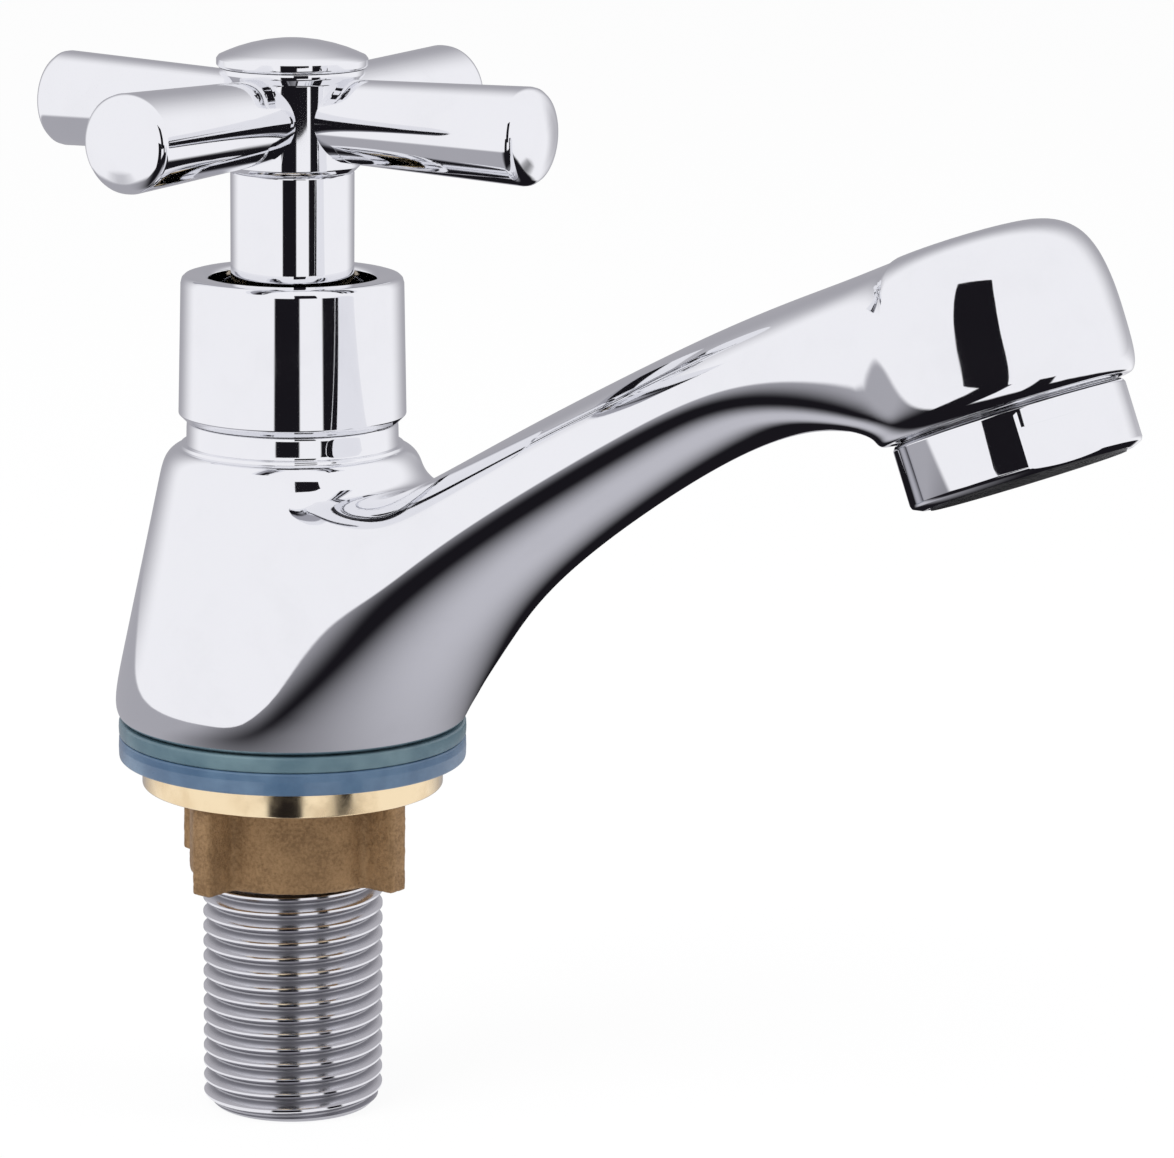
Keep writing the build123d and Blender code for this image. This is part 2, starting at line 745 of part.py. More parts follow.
with BuildPart() as handle_cap:
    with BuildSketch(Plane.XZ):
        with BuildLine():
            Polyline(
                (cap_skirt_r - cap_wall, hub_top_z),
                (cap_skirt_r - cap_wall, hub_top_z - cap_skirt_h),
                (cap_skirt_r, hub_top_z - cap_skirt_h),
                (cap_skirt_r, cap_groove_z),
                (cap_groove_r, cap_groove_z),
                (cap_groove_r, cap_groove_z + 2 * cap_ring_section),
                (cap_skirt_r, cap_groove_z + 2 * cap_ring_section),
                (cap_skirt_r, hub_top_z),
                (cap_r - 0.3, hub_top_z),
                (cap_r, hub_top_z + 0.3),
                (cap_r, hub_top_z + cap_rim_h - 0.3),
                (cap_r - 0.3, hub_top_z + cap_rim_h),
            )
            TangentArc((0, cap_top_z), (cap_r - 0.3, hub_top_z + cap_rim_h), tangent=(1, 0))
            Polyline(
                (0, cap_top_z),
                (0, hub_top_z),
                (cap_skirt_r - cap_wall, hub_top_z),
            )
        make_face()
    revolve(axis=Axis.Z)
handle_cap.part.label = "handle_cap"
export_step(handle_cap.part, "parts/handle_cap.step")

with BuildPart() as cap_ring:
    with BuildSketch(Plane.XZ):
        with Locations((cap_groove_r + cap_ring_section, cap_groove_z + cap_ring_section)):
            Circle(cap_ring_section - running_gap / 5)
    revolve(axis=Axis.Z)
cap_ring.part.label = "cap_ring"
export_step(cap_ring.part, "parts/cap_ring.step")

with BuildPart() as handle_screw:
    with BuildSketch(Plane.XY.offset(screw_seat_z - screw_len)):
        Circle(screw_r)
    extrude(amount=screw_len)
    chamfer(handle_screw.faces().sort_by(Axis.Z)[0].edges(), screw_r / 4)
    with BuildSketch(Plane.XY.offset(screw_seat_z)):
        Circle(screw_head_r)
    extrude(amount=screw_head_h)
    fillet(handle_screw.faces().sort_by(Axis.Z)[-1].edges(), screw_head_h / 2)
    with BuildSketch(Plane.XY.offset(screw_seat_z + screw_head_h / 3)):
        RegularPolygon(screw_key_flats / 2, 6, major_radius=False)
    extrude(amount=screw_head_h, mode=Mode.SUBTRACT)
handle_screw.part.label = "handle_screw"
export_step(handle_screw.part, "parts/handle_screw.step")


# Aerator, in the outlet's own frame
with BuildPart() as aerator_housing:
    with BuildSketch(Plane(outlet.origin, x_dir=outlet.x_dir, z_dir=(0, -1, 0))):
        Polygon(
            (aerator_mouth_r, -aerator_h),
            (aerator_r - aerator_edge, -aerator_h),
            (aerator_r, aerator_chamfer - aerator_h),
            (aerator_r, aerator_top - aerator_chamfer),
            (aerator_r - aerator_chamfer, aerator_top),
            (outlet_root_r, aerator_top),
            *thread_side(outlet_crest_r, outlet_root_r, outlet_pitch, 0, outlet_turns),
            (aerator_mouth_r, aerator_thread_h),
            align=None,
        )
    revolve(axis=Axis(outlet.origin, outlet.z_dir))
    # spanner flats
    with BuildSketch(outlet.offset(-aerator_h)):
        Circle(aerator_r + 1)
        with Locations(Rotation(0, 0, flat_turn)):
            Rectangle(flat_across, 4 * aerator_r, mode=Mode.SUBTRACT)
    extrude(amount=flat_h, mode=Mode.SUBTRACT)
    with BuildSketch(outlet.offset(ledge_s)):
        Circle(aerator_bore_r)
    extrude(amount=aerator_thread_h - ledge_s, mode=Mode.SUBTRACT)
aerator_housing.part.label = "aerator_housing"
export_step(aerator_housing.part, "parts/aerator_housing.step")

with BuildPart() as aerator_cage:
    with BuildSketch(outlet.offset(cage_seat_s)):
        Circle(cage_r)
    extrude(amount=aerator_thread_h - cage_seat_s)
    with BuildSketch(outlet.offset(cage_foot_s)):
        Circle(aerator_mouth_r - running_gap)
    extrude(amount=cage_seat_s - cage_foot_s)
    with BuildSketch(outlet.offset(cage_foot_s)):
        Circle(cage_r - cage_wall)
    extrude(amount=grid_t, mode=Mode.SUBTRACT)
    with BuildSketch(outlet.offset(cage_foot_s)):
        Circle(cage_r - 2 * cage_wall)
    extrude(amount=aerator_thread_h - cage_foot_s, mode=Mode.SUBTRACT)
    with BuildSketch(outlet.offset(aerator_thread_h - plate_t)):
        Circle(cage_r - cage_wall)
    extrude(amount=plate_t, mode=Mode.SUBTRACT)
aerator_cage.part.label = "aerator_cage"
export_step(aerator_cage.part, "parts/aerator_cage.step")

with BuildPart() as outlet_grid:
    with BuildSketch(outlet.offset(cage_foot_s)):
        Circle(cage_r - cage_wall - running_gap)
        with HexLocations(grid_pitch / 2, grid_rings, grid_rings):
            Circle(grid_hole_r, mode=Mode.SUBTRACT)
    extrude(amount=grid_t)
outlet_grid.part.label = "outlet_grid"
export_step(outlet_grid.part, "parts/outlet_grid.step")

with BuildPart() as aerator_screens:
    for screen_s in (screen_low_s, screen_low_s + screen_t + screen_gap):
        with BuildSketch(outlet.offset(screen_s)):
            Circle(cage_r - 2 * cage_wall - running_gap)
            with GridLocations(screen_pitch, screen_pitch, screen_count, screen_count):
                Rectangle(screen_hole, screen_hole, mode=Mode.SUBTRACT)
        extrude(amount=screen_t)
aerator_screens.part.label = "aerator_screens"
export_step(aerator_screens.part, "parts/aerator_screens.step")

with BuildPart() as flow_plate:
    with BuildSketch(outlet.offset(aerator_thread_h - plate_t)):
        Circle(cage_r - cage_wall - running_gap)
        with PolarLocations(plate_hole_ring_r, plate_holes):
            Circle(plate_hole_r, mode=Mode.SUBTRACT)
    extrude(amount=plate_t)
flow_plate.part.label = "flow_plate"
export_step(flow_plate.part, "parts/flow_plate.step")

seal_r = outlet_root_r - seat_gap
aerator_seal = ring(seal_r - aerator_seal_w, seal_r, aerator_thread_h, aerator_thread_h + aerator_seal_t, outlet)
aerator_seal.label = "aerator_seal"
export_step(aerator_seal, "parts/aerator_seal.step")
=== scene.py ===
"""Looks of a chrome basin pillar tap with a cross handle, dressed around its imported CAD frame."""

import json
import logging
import math
from collections import Counter
from dataclasses import dataclass
from enum import Enum
from typing import Callable, Sequence

import bpy
from mathutils import Matrix, Vector

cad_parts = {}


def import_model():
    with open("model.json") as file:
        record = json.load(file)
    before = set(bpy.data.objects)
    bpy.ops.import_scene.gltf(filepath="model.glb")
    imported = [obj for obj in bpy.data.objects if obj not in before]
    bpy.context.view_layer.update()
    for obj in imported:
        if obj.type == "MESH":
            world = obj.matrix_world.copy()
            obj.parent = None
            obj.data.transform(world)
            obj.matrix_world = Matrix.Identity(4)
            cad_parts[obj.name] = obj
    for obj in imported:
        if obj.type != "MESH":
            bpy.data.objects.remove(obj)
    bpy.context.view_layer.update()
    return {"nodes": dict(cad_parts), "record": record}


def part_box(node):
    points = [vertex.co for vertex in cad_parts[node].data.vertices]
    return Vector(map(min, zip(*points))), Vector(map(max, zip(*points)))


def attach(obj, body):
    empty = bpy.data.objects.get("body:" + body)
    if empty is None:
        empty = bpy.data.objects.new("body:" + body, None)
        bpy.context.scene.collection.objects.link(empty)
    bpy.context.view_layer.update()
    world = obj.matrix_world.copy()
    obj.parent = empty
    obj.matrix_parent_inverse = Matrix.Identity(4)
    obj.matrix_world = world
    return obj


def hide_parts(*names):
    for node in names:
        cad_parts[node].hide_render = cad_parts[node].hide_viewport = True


log = logging.getLogger("tap")
MM = 0.001
Colour = tuple[float, float, float]
Point = tuple[float, float, float]
Row = tuple[float, float]
DOUBLE = 0.0005
SMOOTH_ANGLE = 32.0
OUTLET_MOUTH = (97.2, 0.0, 49.3)
OUTLET_TILT = 22.3


def outlet_place(point: Vector) -> Point:
    """A point in the outlet's own frame.

    Args:
        point: the point in millimetres.

    Returns:
        How far it is across the outlet's axis, to its side, and above its mouth.
    """
    lean = math.radians(OUTLET_TILT)
    step = point - Vector(OUTLET_MOUTH)
    across = step.x * math.cos(lean) + step.z * math.sin(lean)
    return across, step.y, step.z * math.cos(lean) - step.x * math.sin(lean)


class Sock:
    """An output socket of a shader node, with Python's operators as Math nodes."""

    def __init__(self, sheet: "Sheet", socket: bpy.types.NodeSocket) -> None:
        """Wraps one socket.

        Args:
            sheet: the node sheet that the socket belongs to.
            socket: the output socket.
        """
        self.sheet = sheet
        self.socket = socket

    def _maths(self, operation: str, *values: "Sock | float") -> "Sock":
        """Adds one Math node and returns its result."""
        return self.sheet.node("ShaderNodeMath", {"operation": operation}, dict(enumerate(values)))

    def __add__(self, other: "Sock | float") -> "Sock":
        """Sum."""
        return self._maths("ADD", self, other)

    def __radd__(self, other: float) -> "Sock":
        """Sum with a number on the left."""
        return self._maths("ADD", other, self)

    def __sub__(self, other: "Sock | float") -> "Sock":
        """Difference."""
        return self._maths("SUBTRACT", self, other)

    def __rsub__(self, other: float) -> "Sock":
        """Difference from a number on the left."""
        return self._maths("SUBTRACT", other, self)

    def __mul__(self, other: "Sock | float") -> "Sock":
        """Product."""
        return self._maths("MULTIPLY", self, other)

    def __rmul__(self, other: float) -> "Sock":
        """Product with a number on the left."""
        return self._maths("MULTIPLY", other, self)

    def __truediv__(self, other: "Sock | float") -> "Sock":
        """Quotient."""
        return self._maths("DIVIDE", self, other)

    def __pow__(self, other: "Sock | float") -> "Sock":
        """Power."""
        return self._maths("POWER", self, other)

    def between(self, low: float, high: float) -> "Sock":
        """The value as a share of the way from low to high, smooth and held to 0 to 1.

        Args:
            low: the value that gives 0.
            high: the value that gives 1.

        Returns:
            The share.
        """
        return self.sheet.node(
            "ShaderNodeMapRange",
            {"interpolation_type": "SMOOTHSTEP"},
            {"Value": self, "From Min": low, "From Max": high},
        )


class Sheet:
    """The node sheet of one material or of the world."""

    def __init__(self, tree: bpy.types.NodeTree) -> None:
        """Empties a node tree and keeps it.

        Args:
            tree: the node tree to fill.
        """
        self.tree = tree
        tree.nodes.clear()

    def node(
        self,
        kind: str,
        settings: dict | None = None,
        inputs: dict | None = None,
        output: int | str = 0,
    ) -> Sock:
        """Adds a node, sets it up, then gives values or links to its sockets.

        Args:
            kind: the node's type.
            settings: properties of the node; "stops" are a colour ramp's places and colours.
            inputs: values or Socks by socket name or number.
            output: the output that is returned.

        Returns:
            The chosen output.
        """
        made = self.tree.nodes.new(kind)
        for name, value in (settings or {}).items():
            if name == "stops":
                elements = made.color_ramp.elements
                while len(elements) < len(value):
                    elements.new(0.5)
                for element, (place, colour) in zip(elements, value):
                    element.position = place
                    element.color = (*colour, 1.0)
            else:
                setattr(made, name, value)
        for name, value in (inputs or {}).items():
            target = made.inputs[name]
            if isinstance(value, Sock):
                self.tree.links.new(value.socket, target)
            elif hasattr(target.default_value, "__len__") and len(target.default_value) == 4:
                target.default_value = (*value, 1.0) if len(value) == 3 else value
            else:
                target.default_value = value
        return Sock(self, made.outputs[output])

    def place(self) -> Sock:
        """The point on the object, in metres in the row frame."""
        return self.node("ShaderNodeTexCoord", output="Object")

    def centred(self, origin: Point, turn: Point = (0.0, 0.0, 0.0)) -> Sock:
        """The point in a frame with its own origin and turn.

        Args:
            origin: the frame's origin in metres.
            turn: the frame's turn, as angles in radians.

        Returns:
            The point in that frame.
        """
        return self.node(
            "ShaderNodeMapping",
            {"vector_type": "TEXTURE"},
            {"Vector": self.place(), "Location": origin, "Rotation": turn},
        )

    def parts(self, vector: Sock) -> tuple[Sock, Sock, Sock]:
        """The three numbers of a vector."""
        split = self.node("ShaderNodeSeparateXYZ", inputs={"Vector": vector}).socket.node
        return tuple(Sock(self, split.outputs[axis]) for axis in range(3))

    def noise(self, vector: Sock, scale: float, detail: float = 4.0, rough: float = 0.55) -> Sock:
        """Cloudy noise from 0 to 1.

        Args:
            vector: the place it is read at.
            scale: cells a metre.
            detail: octaves.
            rough: strength of the finer octaves.

        Returns:
            The noise's value.
        """
        inputs = {"Vector": vector, "Scale": scale, "Detail": detail, "Roughness": rough}
        return self.node("ShaderNodeTexNoise", inputs=inputs)

    def blend(self, share: Sock | float, low: Sock | Colour, high: Sock | Colour) -> Sock:
        """A mix of two colours.

        Args:
            share: 0 for low, 1 for high.
            low: the first colour.
            high: the second colour.

        Returns:
            The mixed colour.
        """
        inputs = {"Factor": share, 6: low, 7: high}
        return self.node("ShaderNodeMix", {"data_type": "RGBA"}, inputs, 2)

    def bump(self, height: Sock, depth: float, strength: float = 1.0) -> Sock:
        """A normal from heights.

        Args:
            height: the height, from 0 to 1.
            depth: metres between height 0 and 1.
            strength: share of the full effect.

        Returns:
            The normal.
        """
        inputs = {"Height": height, "Distance": depth, "Strength": strength}
        return self.node("ShaderNodeBump", inputs=inputs)

    def finish(self, **inputs: Sock | float | Colour) -> None:
        """Adds the surface shader and the output.

        Args:
            inputs: the shader's sockets, with _ in place of a space.
        """
        named = {name.replace("_", " "): value for name, value in inputs.items()}
        shader = self.node("ShaderNodeBsdfPrincipled", inputs=named)
        self.node_output(shader)

    def node_output(self, shader: Sock, kind: str = "ShaderNodeOutputMaterial") -> None:
        """Links a shader to the sheet's output.

        Args:
            shader: the last shader.
            kind: the output node's type.
        """
        made = self.tree.nodes.new(kind)
        self.tree.links.new(shader.socket, made.inputs["Surface"])


def new_sheet(name: str) -> tuple[bpy.types.Material, Sheet]:
    """A new material with an empty node sheet.

    Args:
        name: the material's name.

    Returns:
        The material and its sheet.
    """
    material = bpy.data.materials.new(name)
    material.use_nodes = True
    return material, Sheet(material.node_tree)


@dataclass(frozen=True)
class Chrome:
    """Polished chrome plate with faint wipe marks and the slight waves of a polished casting."""

    name: str
    colour: Colour = (0.86, 0.865, 0.89)
    shine: float = 0.035
    smear: float = 0.03
    wave: float = 0.000012
    wave_scale: float = 55.0

    def material(self) -> bpy.types.Material:
        """Builds the finish."""
        material, sheet = new_sheet(self.name)
        place = sheet.place()
        smear = sheet.noise(place, 120.0, 5.0, 0.6).between(0.45, 0.75)
        colour = sheet.blend(smear * 0.35, self.colour, tuple(c * 0.93 for c in self.colour))
        wave = sheet.bump(sheet.noise(place, self.wave_scale, 1.0), self.wave)
        sheet.finish(
            Base_Color=colour,
            Metallic=1.0,
            Roughness=smear * self.smear + self.shine,
            Normal=wave,
        )
        return material


@dataclass(frozen=True)
class Plain:
    """A moulded or ground surface with a fine grain."""

    name: str
    colour: Colour
    rough: float = 0.5
    metal: float = 0.0
    grain_scale: float = 3000.0
    grain_depth: float = 0.000015
    mottle: float = 0.12

    def material(self) -> bpy.types.Material:
        """Builds the finish."""
        material, sheet = new_sheet(self.name)
        place = sheet.place()
        cloud = sheet.noise(place, 200.0, 3.0)
        colour = sheet.blend(cloud, self.colour, tuple(c * (1 - self.mottle) for c in self.colour))
        grain = sheet.noise(place, self.grain_scale, 2.0)
        sheet.finish(
            Base_Color=colour,
            Metallic=self.metal,
            Roughness=cloud * 0.12 + (self.rough - 0.06),
            Normal=sheet.bump(grain, self.grain_depth),
        )
        return material


@dataclass(frozen=True)
class ThreadChrome:
    """Chrome over a cut thread: bright crests, and grooves that are darker in colour and rougher than the crests.
    """

    name: str
    colour: Colour = (0.80, 0.80, 0.83)
    groove: Colour = (0.42, 0.42, 0.45)
    root: float = 0.0096
    crest: float = 0.01042
    shine: float = 0.10

    def material(self) -> bpy.types.Material:
        """Builds the finish."""
        material, sheet = new_sheet(self.name)
        place = sheet.place()
        x, y, _ = sheet.parts(place)
        outer = ((x * x + y * y) ** 0.5).between(self.root, self.crest)
        dull = sheet.noise(place, 700.0, 4.0)
        sheet.finish(
            # The colour darkens from the crests down into the grooves, by distance from the axis.
            Base_Color=sheet.blend(outer, self.groove, self.colour),
            Metallic=1.0,
            Roughness=(1.0 - outer) * 0.25 + dull * 0.1 + (self.shine - 0.03),
            Normal=sheet.bump(dull, 0.000012),
        )
        return material


@dataclass(frozen=True)
class Machined:
    """Bright turned brass with fine tool marks round the axis."""

    name: str
    colour: Colour = (0.93, 0.76, 0.50)
    rough: float = 0.13
    marks: float = 0.000006
    mark_scale: float = 5000.0

    def material(self) -> bpy.types.Material:
        """Builds the finish."""
        material, sheet = new_sheet(self.name)
        x, y, z = sheet.parts(sheet.place())
        reach = (x * x + y * y) ** 0.5
        lines = sheet.node("ShaderNodeCombineXYZ", inputs={"X": reach, "Z": z})
        tool = sheet.noise(lines, self.mark_scale, 2.0)
        dull = sheet.noise(sheet.place(), 160.0, 4.0).between(0.45, 0.7)
        sheet.finish(
            Base_Color=sheet.blend(dull * 0.5, self.colour, (0.74, 0.55, 0.32)),
            Metallic=1.0,
            Roughness=dull * 0.16 + self.rough,
            Normal=sheet.bump(tool, self.marks),
        )
        return material


@dataclass(frozen=True)
class SandCast:
    """Brown cast brass with the grain of the sand mould."""

    name: str
    light: Colour = (0.40, 0.25, 0.125)
    dark: Colour = (0.20, 0.115, 0.05)
    grain_scale: float = 2600.0
    grain_depth: float = 0.00012

    def material(self) -> bpy.types.Material:
        """Builds the finish."""
        material, sheet = new_sheet(self.name)
        place = sheet.place()
        grain = sheet.noise(place, self.grain_scale, 5.0, 0.65)
        cloud = sheet.noise(place, 240.0, 4.0)
        mottled = (grain * 0.55 + cloud * 0.45).between(0.36, 0.64)
        sheet.finish(
            Base_Color=sheet.blend(mottled, self.dark, self.light),
            Metallic=mottled * 0.3 + 0.45,
            Roughness=0.62 - mottled * 0.14,
            Normal=sheet.bump(grain, self.grain_depth),
        )
        return material


@dataclass(frozen=True)
class Rubber:
    """Blue rubber with cloudy paler patches, dusty patches and a thin coat."""

    name: str
    colour: Colour
    pale: Colour

    def material(self) -> bpy.types.Material:
        """Builds the finish."""
        material, sheet = new_sheet(self.name)
        place = sheet.place()
        cloud = sheet.noise(place, 130.0, 4.0).between(0.35, 0.7)
        dust = sheet.noise(place, 900.0, 3.0)
        sheet.finish(
            Base_Color=sheet.blend(cloud * 0.8, self.colour, self.pale),
            Roughness=dust * 0.2 + 0.22,
            Normal=sheet.bump(dust, 0.00002),
            Coat_Weight=0.3,
        )
        return material


@dataclass(frozen=True)
class Studio:
    """White tent with dark gaps, the floor and the camera of the photograph."""

    distance: float = 0.58082
    height: float = 0.14033
    yaw: float = 0.0585
    pitch: float = 0.2070
    roll: float = 0.0112
    turn: float = math.radians(41.0)
    focal_px: float = 5133.86
    image_width: float = 1174.0
    sensor: float = 36.0
    tent_white: Colour = (0.98, 0.975, 1.0)
    back_grey: Colour = (0.30, 0.295, 0.33)
    back_fade: tuple[float, float] = (0.45, 0.97)
    back_share: float = 0.85
    table_grey: Colour = (0.56, 0.555, 0.60)
    gap_black: Colour = (0.010, 0.009, 0.012)
    table_middle: float = 0.045
    table_squeeze: float = 0.55
    table_fade: tuple[float, float] = (0.004, 0.040)
    band_swing: tuple[float, float] = (-65.0, -15.0)
    band_grey: Colour = (0.42, 0.415, 0.45)
    cloth_edge: tuple[float, float] = (0.115, 0.140)
    gaps: tuple[tuple[float, float], ...] = ((-18.0, 7.0), (30.0, 44.0))
    gap_edge: float = 1.0
    gap_start: tuple[float, float] = (0.010, 0.014)
    table_gap_start: tuple[float, float] = (0.095, 0.115)
    under_grey: Colour = (0.50, 0.49, 0.52)

    def axes(self) -> tuple[Vector, Vector, Vector]:
        """Right, up and forward of the camera in the row frame."""
        cos_yaw, sin_yaw = math.cos(self.yaw), math.sin(self.yaw)
        cos_pitch, sin_pitch = math.cos(self.pitch), math.sin(self.pitch)
        forward = Vector((sin_yaw * cos_pitch, cos_yaw * cos_pitch, -sin_pitch))
        level = Vector((cos_yaw, -sin_yaw, 0.0))
        upright = level.cross(forward)
        cos_roll, sin_roll = math.cos(self.roll), math.sin(self.roll)
        right = level * cos_roll + upright * sin_roll
        up = upright * cos_roll - level * sin_roll
        spin = Matrix.Rotation(self.turn, 3, "Z")
        return spin @ right, spin @ up, spin @ forward

    def camera(self) -> None:
        """Adds the camera at the photograph's place."""
        data = bpy.data.cameras.new("photo_camera")
        data.sensor_fit = "HORIZONTAL"
        data.sensor_width = self.sensor
        data.lens = self.focal_px / self.image_width * self.sensor
        data.clip_start, data.clip_end = 0.05, 20.0
        camera = bpy.data.objects.new("photo_camera", data)
        bpy.context.scene.collection.objects.link(camera)
        right, up, forward = self.axes()
        place = Matrix.Rotation(self.turn, 3, "Z") @ Vector((0.0, -self.distance, self.height))
        turned = Matrix((right, up, -forward)).transposed().to_4x4()
        camera.matrix_world = Matrix.Translation(place) @ turned
        bpy.context.scene.camera = camera

    def world(self) -> None:
        """Fills the world with soft white light."""
        world = bpy.data.worlds.new("tent")
        world.use_nodes = True
        bpy.context.scene.world = world
        sheet = Sheet(world.node_tree)
        path = sheet.node("ShaderNodeLightPath").socket.node
        camera = Sock(sheet, path.outputs["Is Camera Ray"])
        glossy = Sock(sheet, path.outputs["Is Glossy Ray"])
        soft = sheet.node("ShaderNodeBackground", inputs={"Color": (1, 1, 1), "Strength": 0.80})
        direction = sheet.node("ShaderNodeTexCoord", output="Generated")
        behind = (0.0 - self.towards(sheet, direction)).between(*self.back_fade)
        cloth = sheet.blend(behind * self.back_share, self.tent_white, self.back_grey)
        tent = sheet.node("ShaderNodeBackground", inputs={"Color": cloth, "Strength": 1.0})
        white = sheet.node("ShaderNodeBackground", inputs={"Color": (1, 1, 1), "Strength": 1.0})
        lit = sheet.node("ShaderNodeMixShader", inputs={0: glossy, 1: soft, 2: tent})
        shown = sheet.node("ShaderNodeMixShader", inputs={0: camera, 1: lit, 2: white})
        sheet.node_output(shown, "ShaderNodeOutputWorld")

    def towards(self, sheet: Sheet, vector: Sock) -> Sock:
        """How far a vector points towards the camera's side of the tent.

        Args:
            sheet: the node sheet.
            vector: a direction or a place on the floor.

        Returns:
            Its part towards the camera.
        """
        x, y, _ = sheet.parts(vector)
        return x * math.sin(self.turn) - y * math.cos(self.turn)

    def ground(self, sheet: Sheet, shaded: bool) -> Sock:
        """What polished metal sees of the floor: white cloth with two dark gaps, and a dark table near by.

        Args:
            sheet: the node sheet.
            shaded: True where the table's shade lies on the floor.

        Returns:
            The colour.
        """
        place = sheet.place()
        x, y, _ = sheet.parts(place)
        front = self.towards(sheet, place)
        right = x * math.cos(self.turn) + y * math.sin(self.turn)
        reach = (x * x + y * y) ** 0.5
        along = (x - self.table_middle) * self.table_squeeze
        table_reach = (along * along + y * y) ** 0.5
        swing = sheet.node("ShaderNodeMath", {"operation": "ARCTAN2"}, {0: right, 1: front})
        behind = (0.0 - front / reach).between(*self.back_fade)
        colour = sheet.blend(behind * self.back_share, self.tent_white, self.back_grey)
        if shaded:
            first, last = self.band_swing
            side = swing.between(math.radians(first), math.radians(last))
            band = sheet.blend(side, self.band_grey, self.gap_black)
            table = sheet.blend(table_reach.between(*self.table_fade), self.table_grey, band)
            colour = sheet.blend(table_reach.between(*self.cloth_edge), table, colour)
        gaps = 0.0
        for first, last in self.gaps:
            low, high = math.radians(first), math.radians(last)
            edge = math.radians(self.gap_edge)
            gap = swing.between(low - edge, low + edge) * (1.0 - swing.between(high - edge, high + edge))
            gaps = gap + gaps
        start = reach.between(*(self.table_gap_start if shaded else self.gap_start))
        return sheet.blend(gaps * start, colour, self.gap_black)

    def table(self, height: float) -> None:
        """Adds the dark table top under the body, which only reflections see, from above.

        Args:
            height: its height in metres.
        """
        bpy.ops.object.select_all(action="DESELECT")
        bpy.ops.mesh.primitive_plane_add(size=6.0, location=(0.0, 0.0, height))
        card = bpy.context.object
        card.name = "dark_table"
        material, sheet = new_sheet("dark_table")
        below = sheet.node("ShaderNodeNewGeometry", output="Backfacing")
        colour = sheet.blend(below, self.ground(sheet, True), self.under_grey)
        sheet.node_output(sheet.node("ShaderNodeEmission", inputs={"Color": colour, "Strength": 1.0}))
        card.data.materials.append(material)
        card.visible_camera = False
        card.visible_diffuse = False
        card.visible_transmission = False
        card.visible_shadow = False

    def post(self, right: float, front: float, size: tuple[float, float], height: float) -> None:
        """Adds a dark upright card that only reflections see.

        Args:
            right: metres to the right of the valve's axis, seen by the camera.
            front: metres from the axis towards the camera.
            size: its width and height.
            height: the height of its middle.
        """
        bpy.ops.object.select_all(action="DESELECT")
        bpy.ops.mesh.primitive_plane_add(size=1.0)
        card = bpy.context.object
        card.name = "dark_post"
        card.scale = (size[0], size[1], 1.0)
        card.rotation_euler = (math.radians(90.0), 0.0, self.turn)
        spin = Matrix.Rotation(self.turn, 3, "Z")
        card.location = spin @ Vector((right, -front, height))
        material, sheet = new_sheet("dark_post")
        glow = sheet.node("ShaderNodeEmission", inputs={"Color": self.gap_black, "Strength": 1.0})
        sheet.node_output(glow)
        card.data.materials.append(material)
        card.visible_camera = False
        card.visible_diffuse = False
        card.visible_transmission = False
        card.visible_shadow = False

    def floor(self, height: float) -> None:
        """Adds the floor.

        Args:
            height: its height in metres.
        """
        bpy.ops.object.select_all(action="DESELECT")
        bpy.ops.mesh.primitive_plane_add(size=8.0, location=(0.0, 0.0, height))
        floor = bpy.context.object
        floor.name = "floor"
        material, sheet = new_sheet("pale_floor")
        path = sheet.node("ShaderNodeLightPath").socket.node
        camera = Sock(sheet, path.outputs["Is Camera Ray"])
        glossy = Sock(sheet, path.outputs["Is Glossy Ray"])
        paper = sheet.node("ShaderNodeBsdfDiffuse", inputs={"Color": (0.92, 0.92, 0.93)})
        glow = sheet.node("ShaderNodeEmission", inputs={"Color": (1, 1, 1), "Strength": 1.0})
        seen = sheet.node("ShaderNodeEmission", inputs={"Color": self.ground(sheet, False), "Strength": 1.0})
        mirrored = sheet.node("ShaderNodeMixShader", inputs={0: glossy, 1: paper, 2: seen})
        mixed = sheet.node("ShaderNodeMixShader", inputs={0: camera * 0.9, 1: mirrored, 2: glow})
        sheet.node_output(mixed)
        floor.data.materials.append(material)

    def lamp(self, name: str, swing: float, rise: float, size: float, watts: float) -> None:
        """Adds a soft area lamp.

        Args:
            name: the lamp's name.
            swing: degrees to the right of the camera, round the object.
            rise: degrees above the horizon.
            size: its side in metres.
            watts: its power.
        """
        data = bpy.data.lights.new(name, "AREA")
        data.size = size
        data.energy = watts
        lamp = bpy.data.objects.new(name, data)
        lamp.visible_glossy = False
        bpy.context.scene.collection.objects.link(lamp)
        angle = self.turn + math.radians(swing)
        tilt = math.radians(rise)
        out = Vector((math.sin(angle) * math.cos(tilt), -math.cos(angle) * math.cos(tilt), math.sin(tilt)))
        lamp.location = out * 1.0
        lamp.rotation_mode = "QUATERNION"
        lamp.rotation_quaternion = out.to_track_quat("Z", "Y")


class Rounding(Enum):
    """Width in millimetres of a piece's rounded edges."""

    NONE = 0.0
    FINE = 0.1
    SOFT = 0.28


class Join(Enum):
    """How two meshes are combined."""

    ADD = "UNION"
    CUT = "DIFFERENCE"
    KEEP = "INTERSECT"


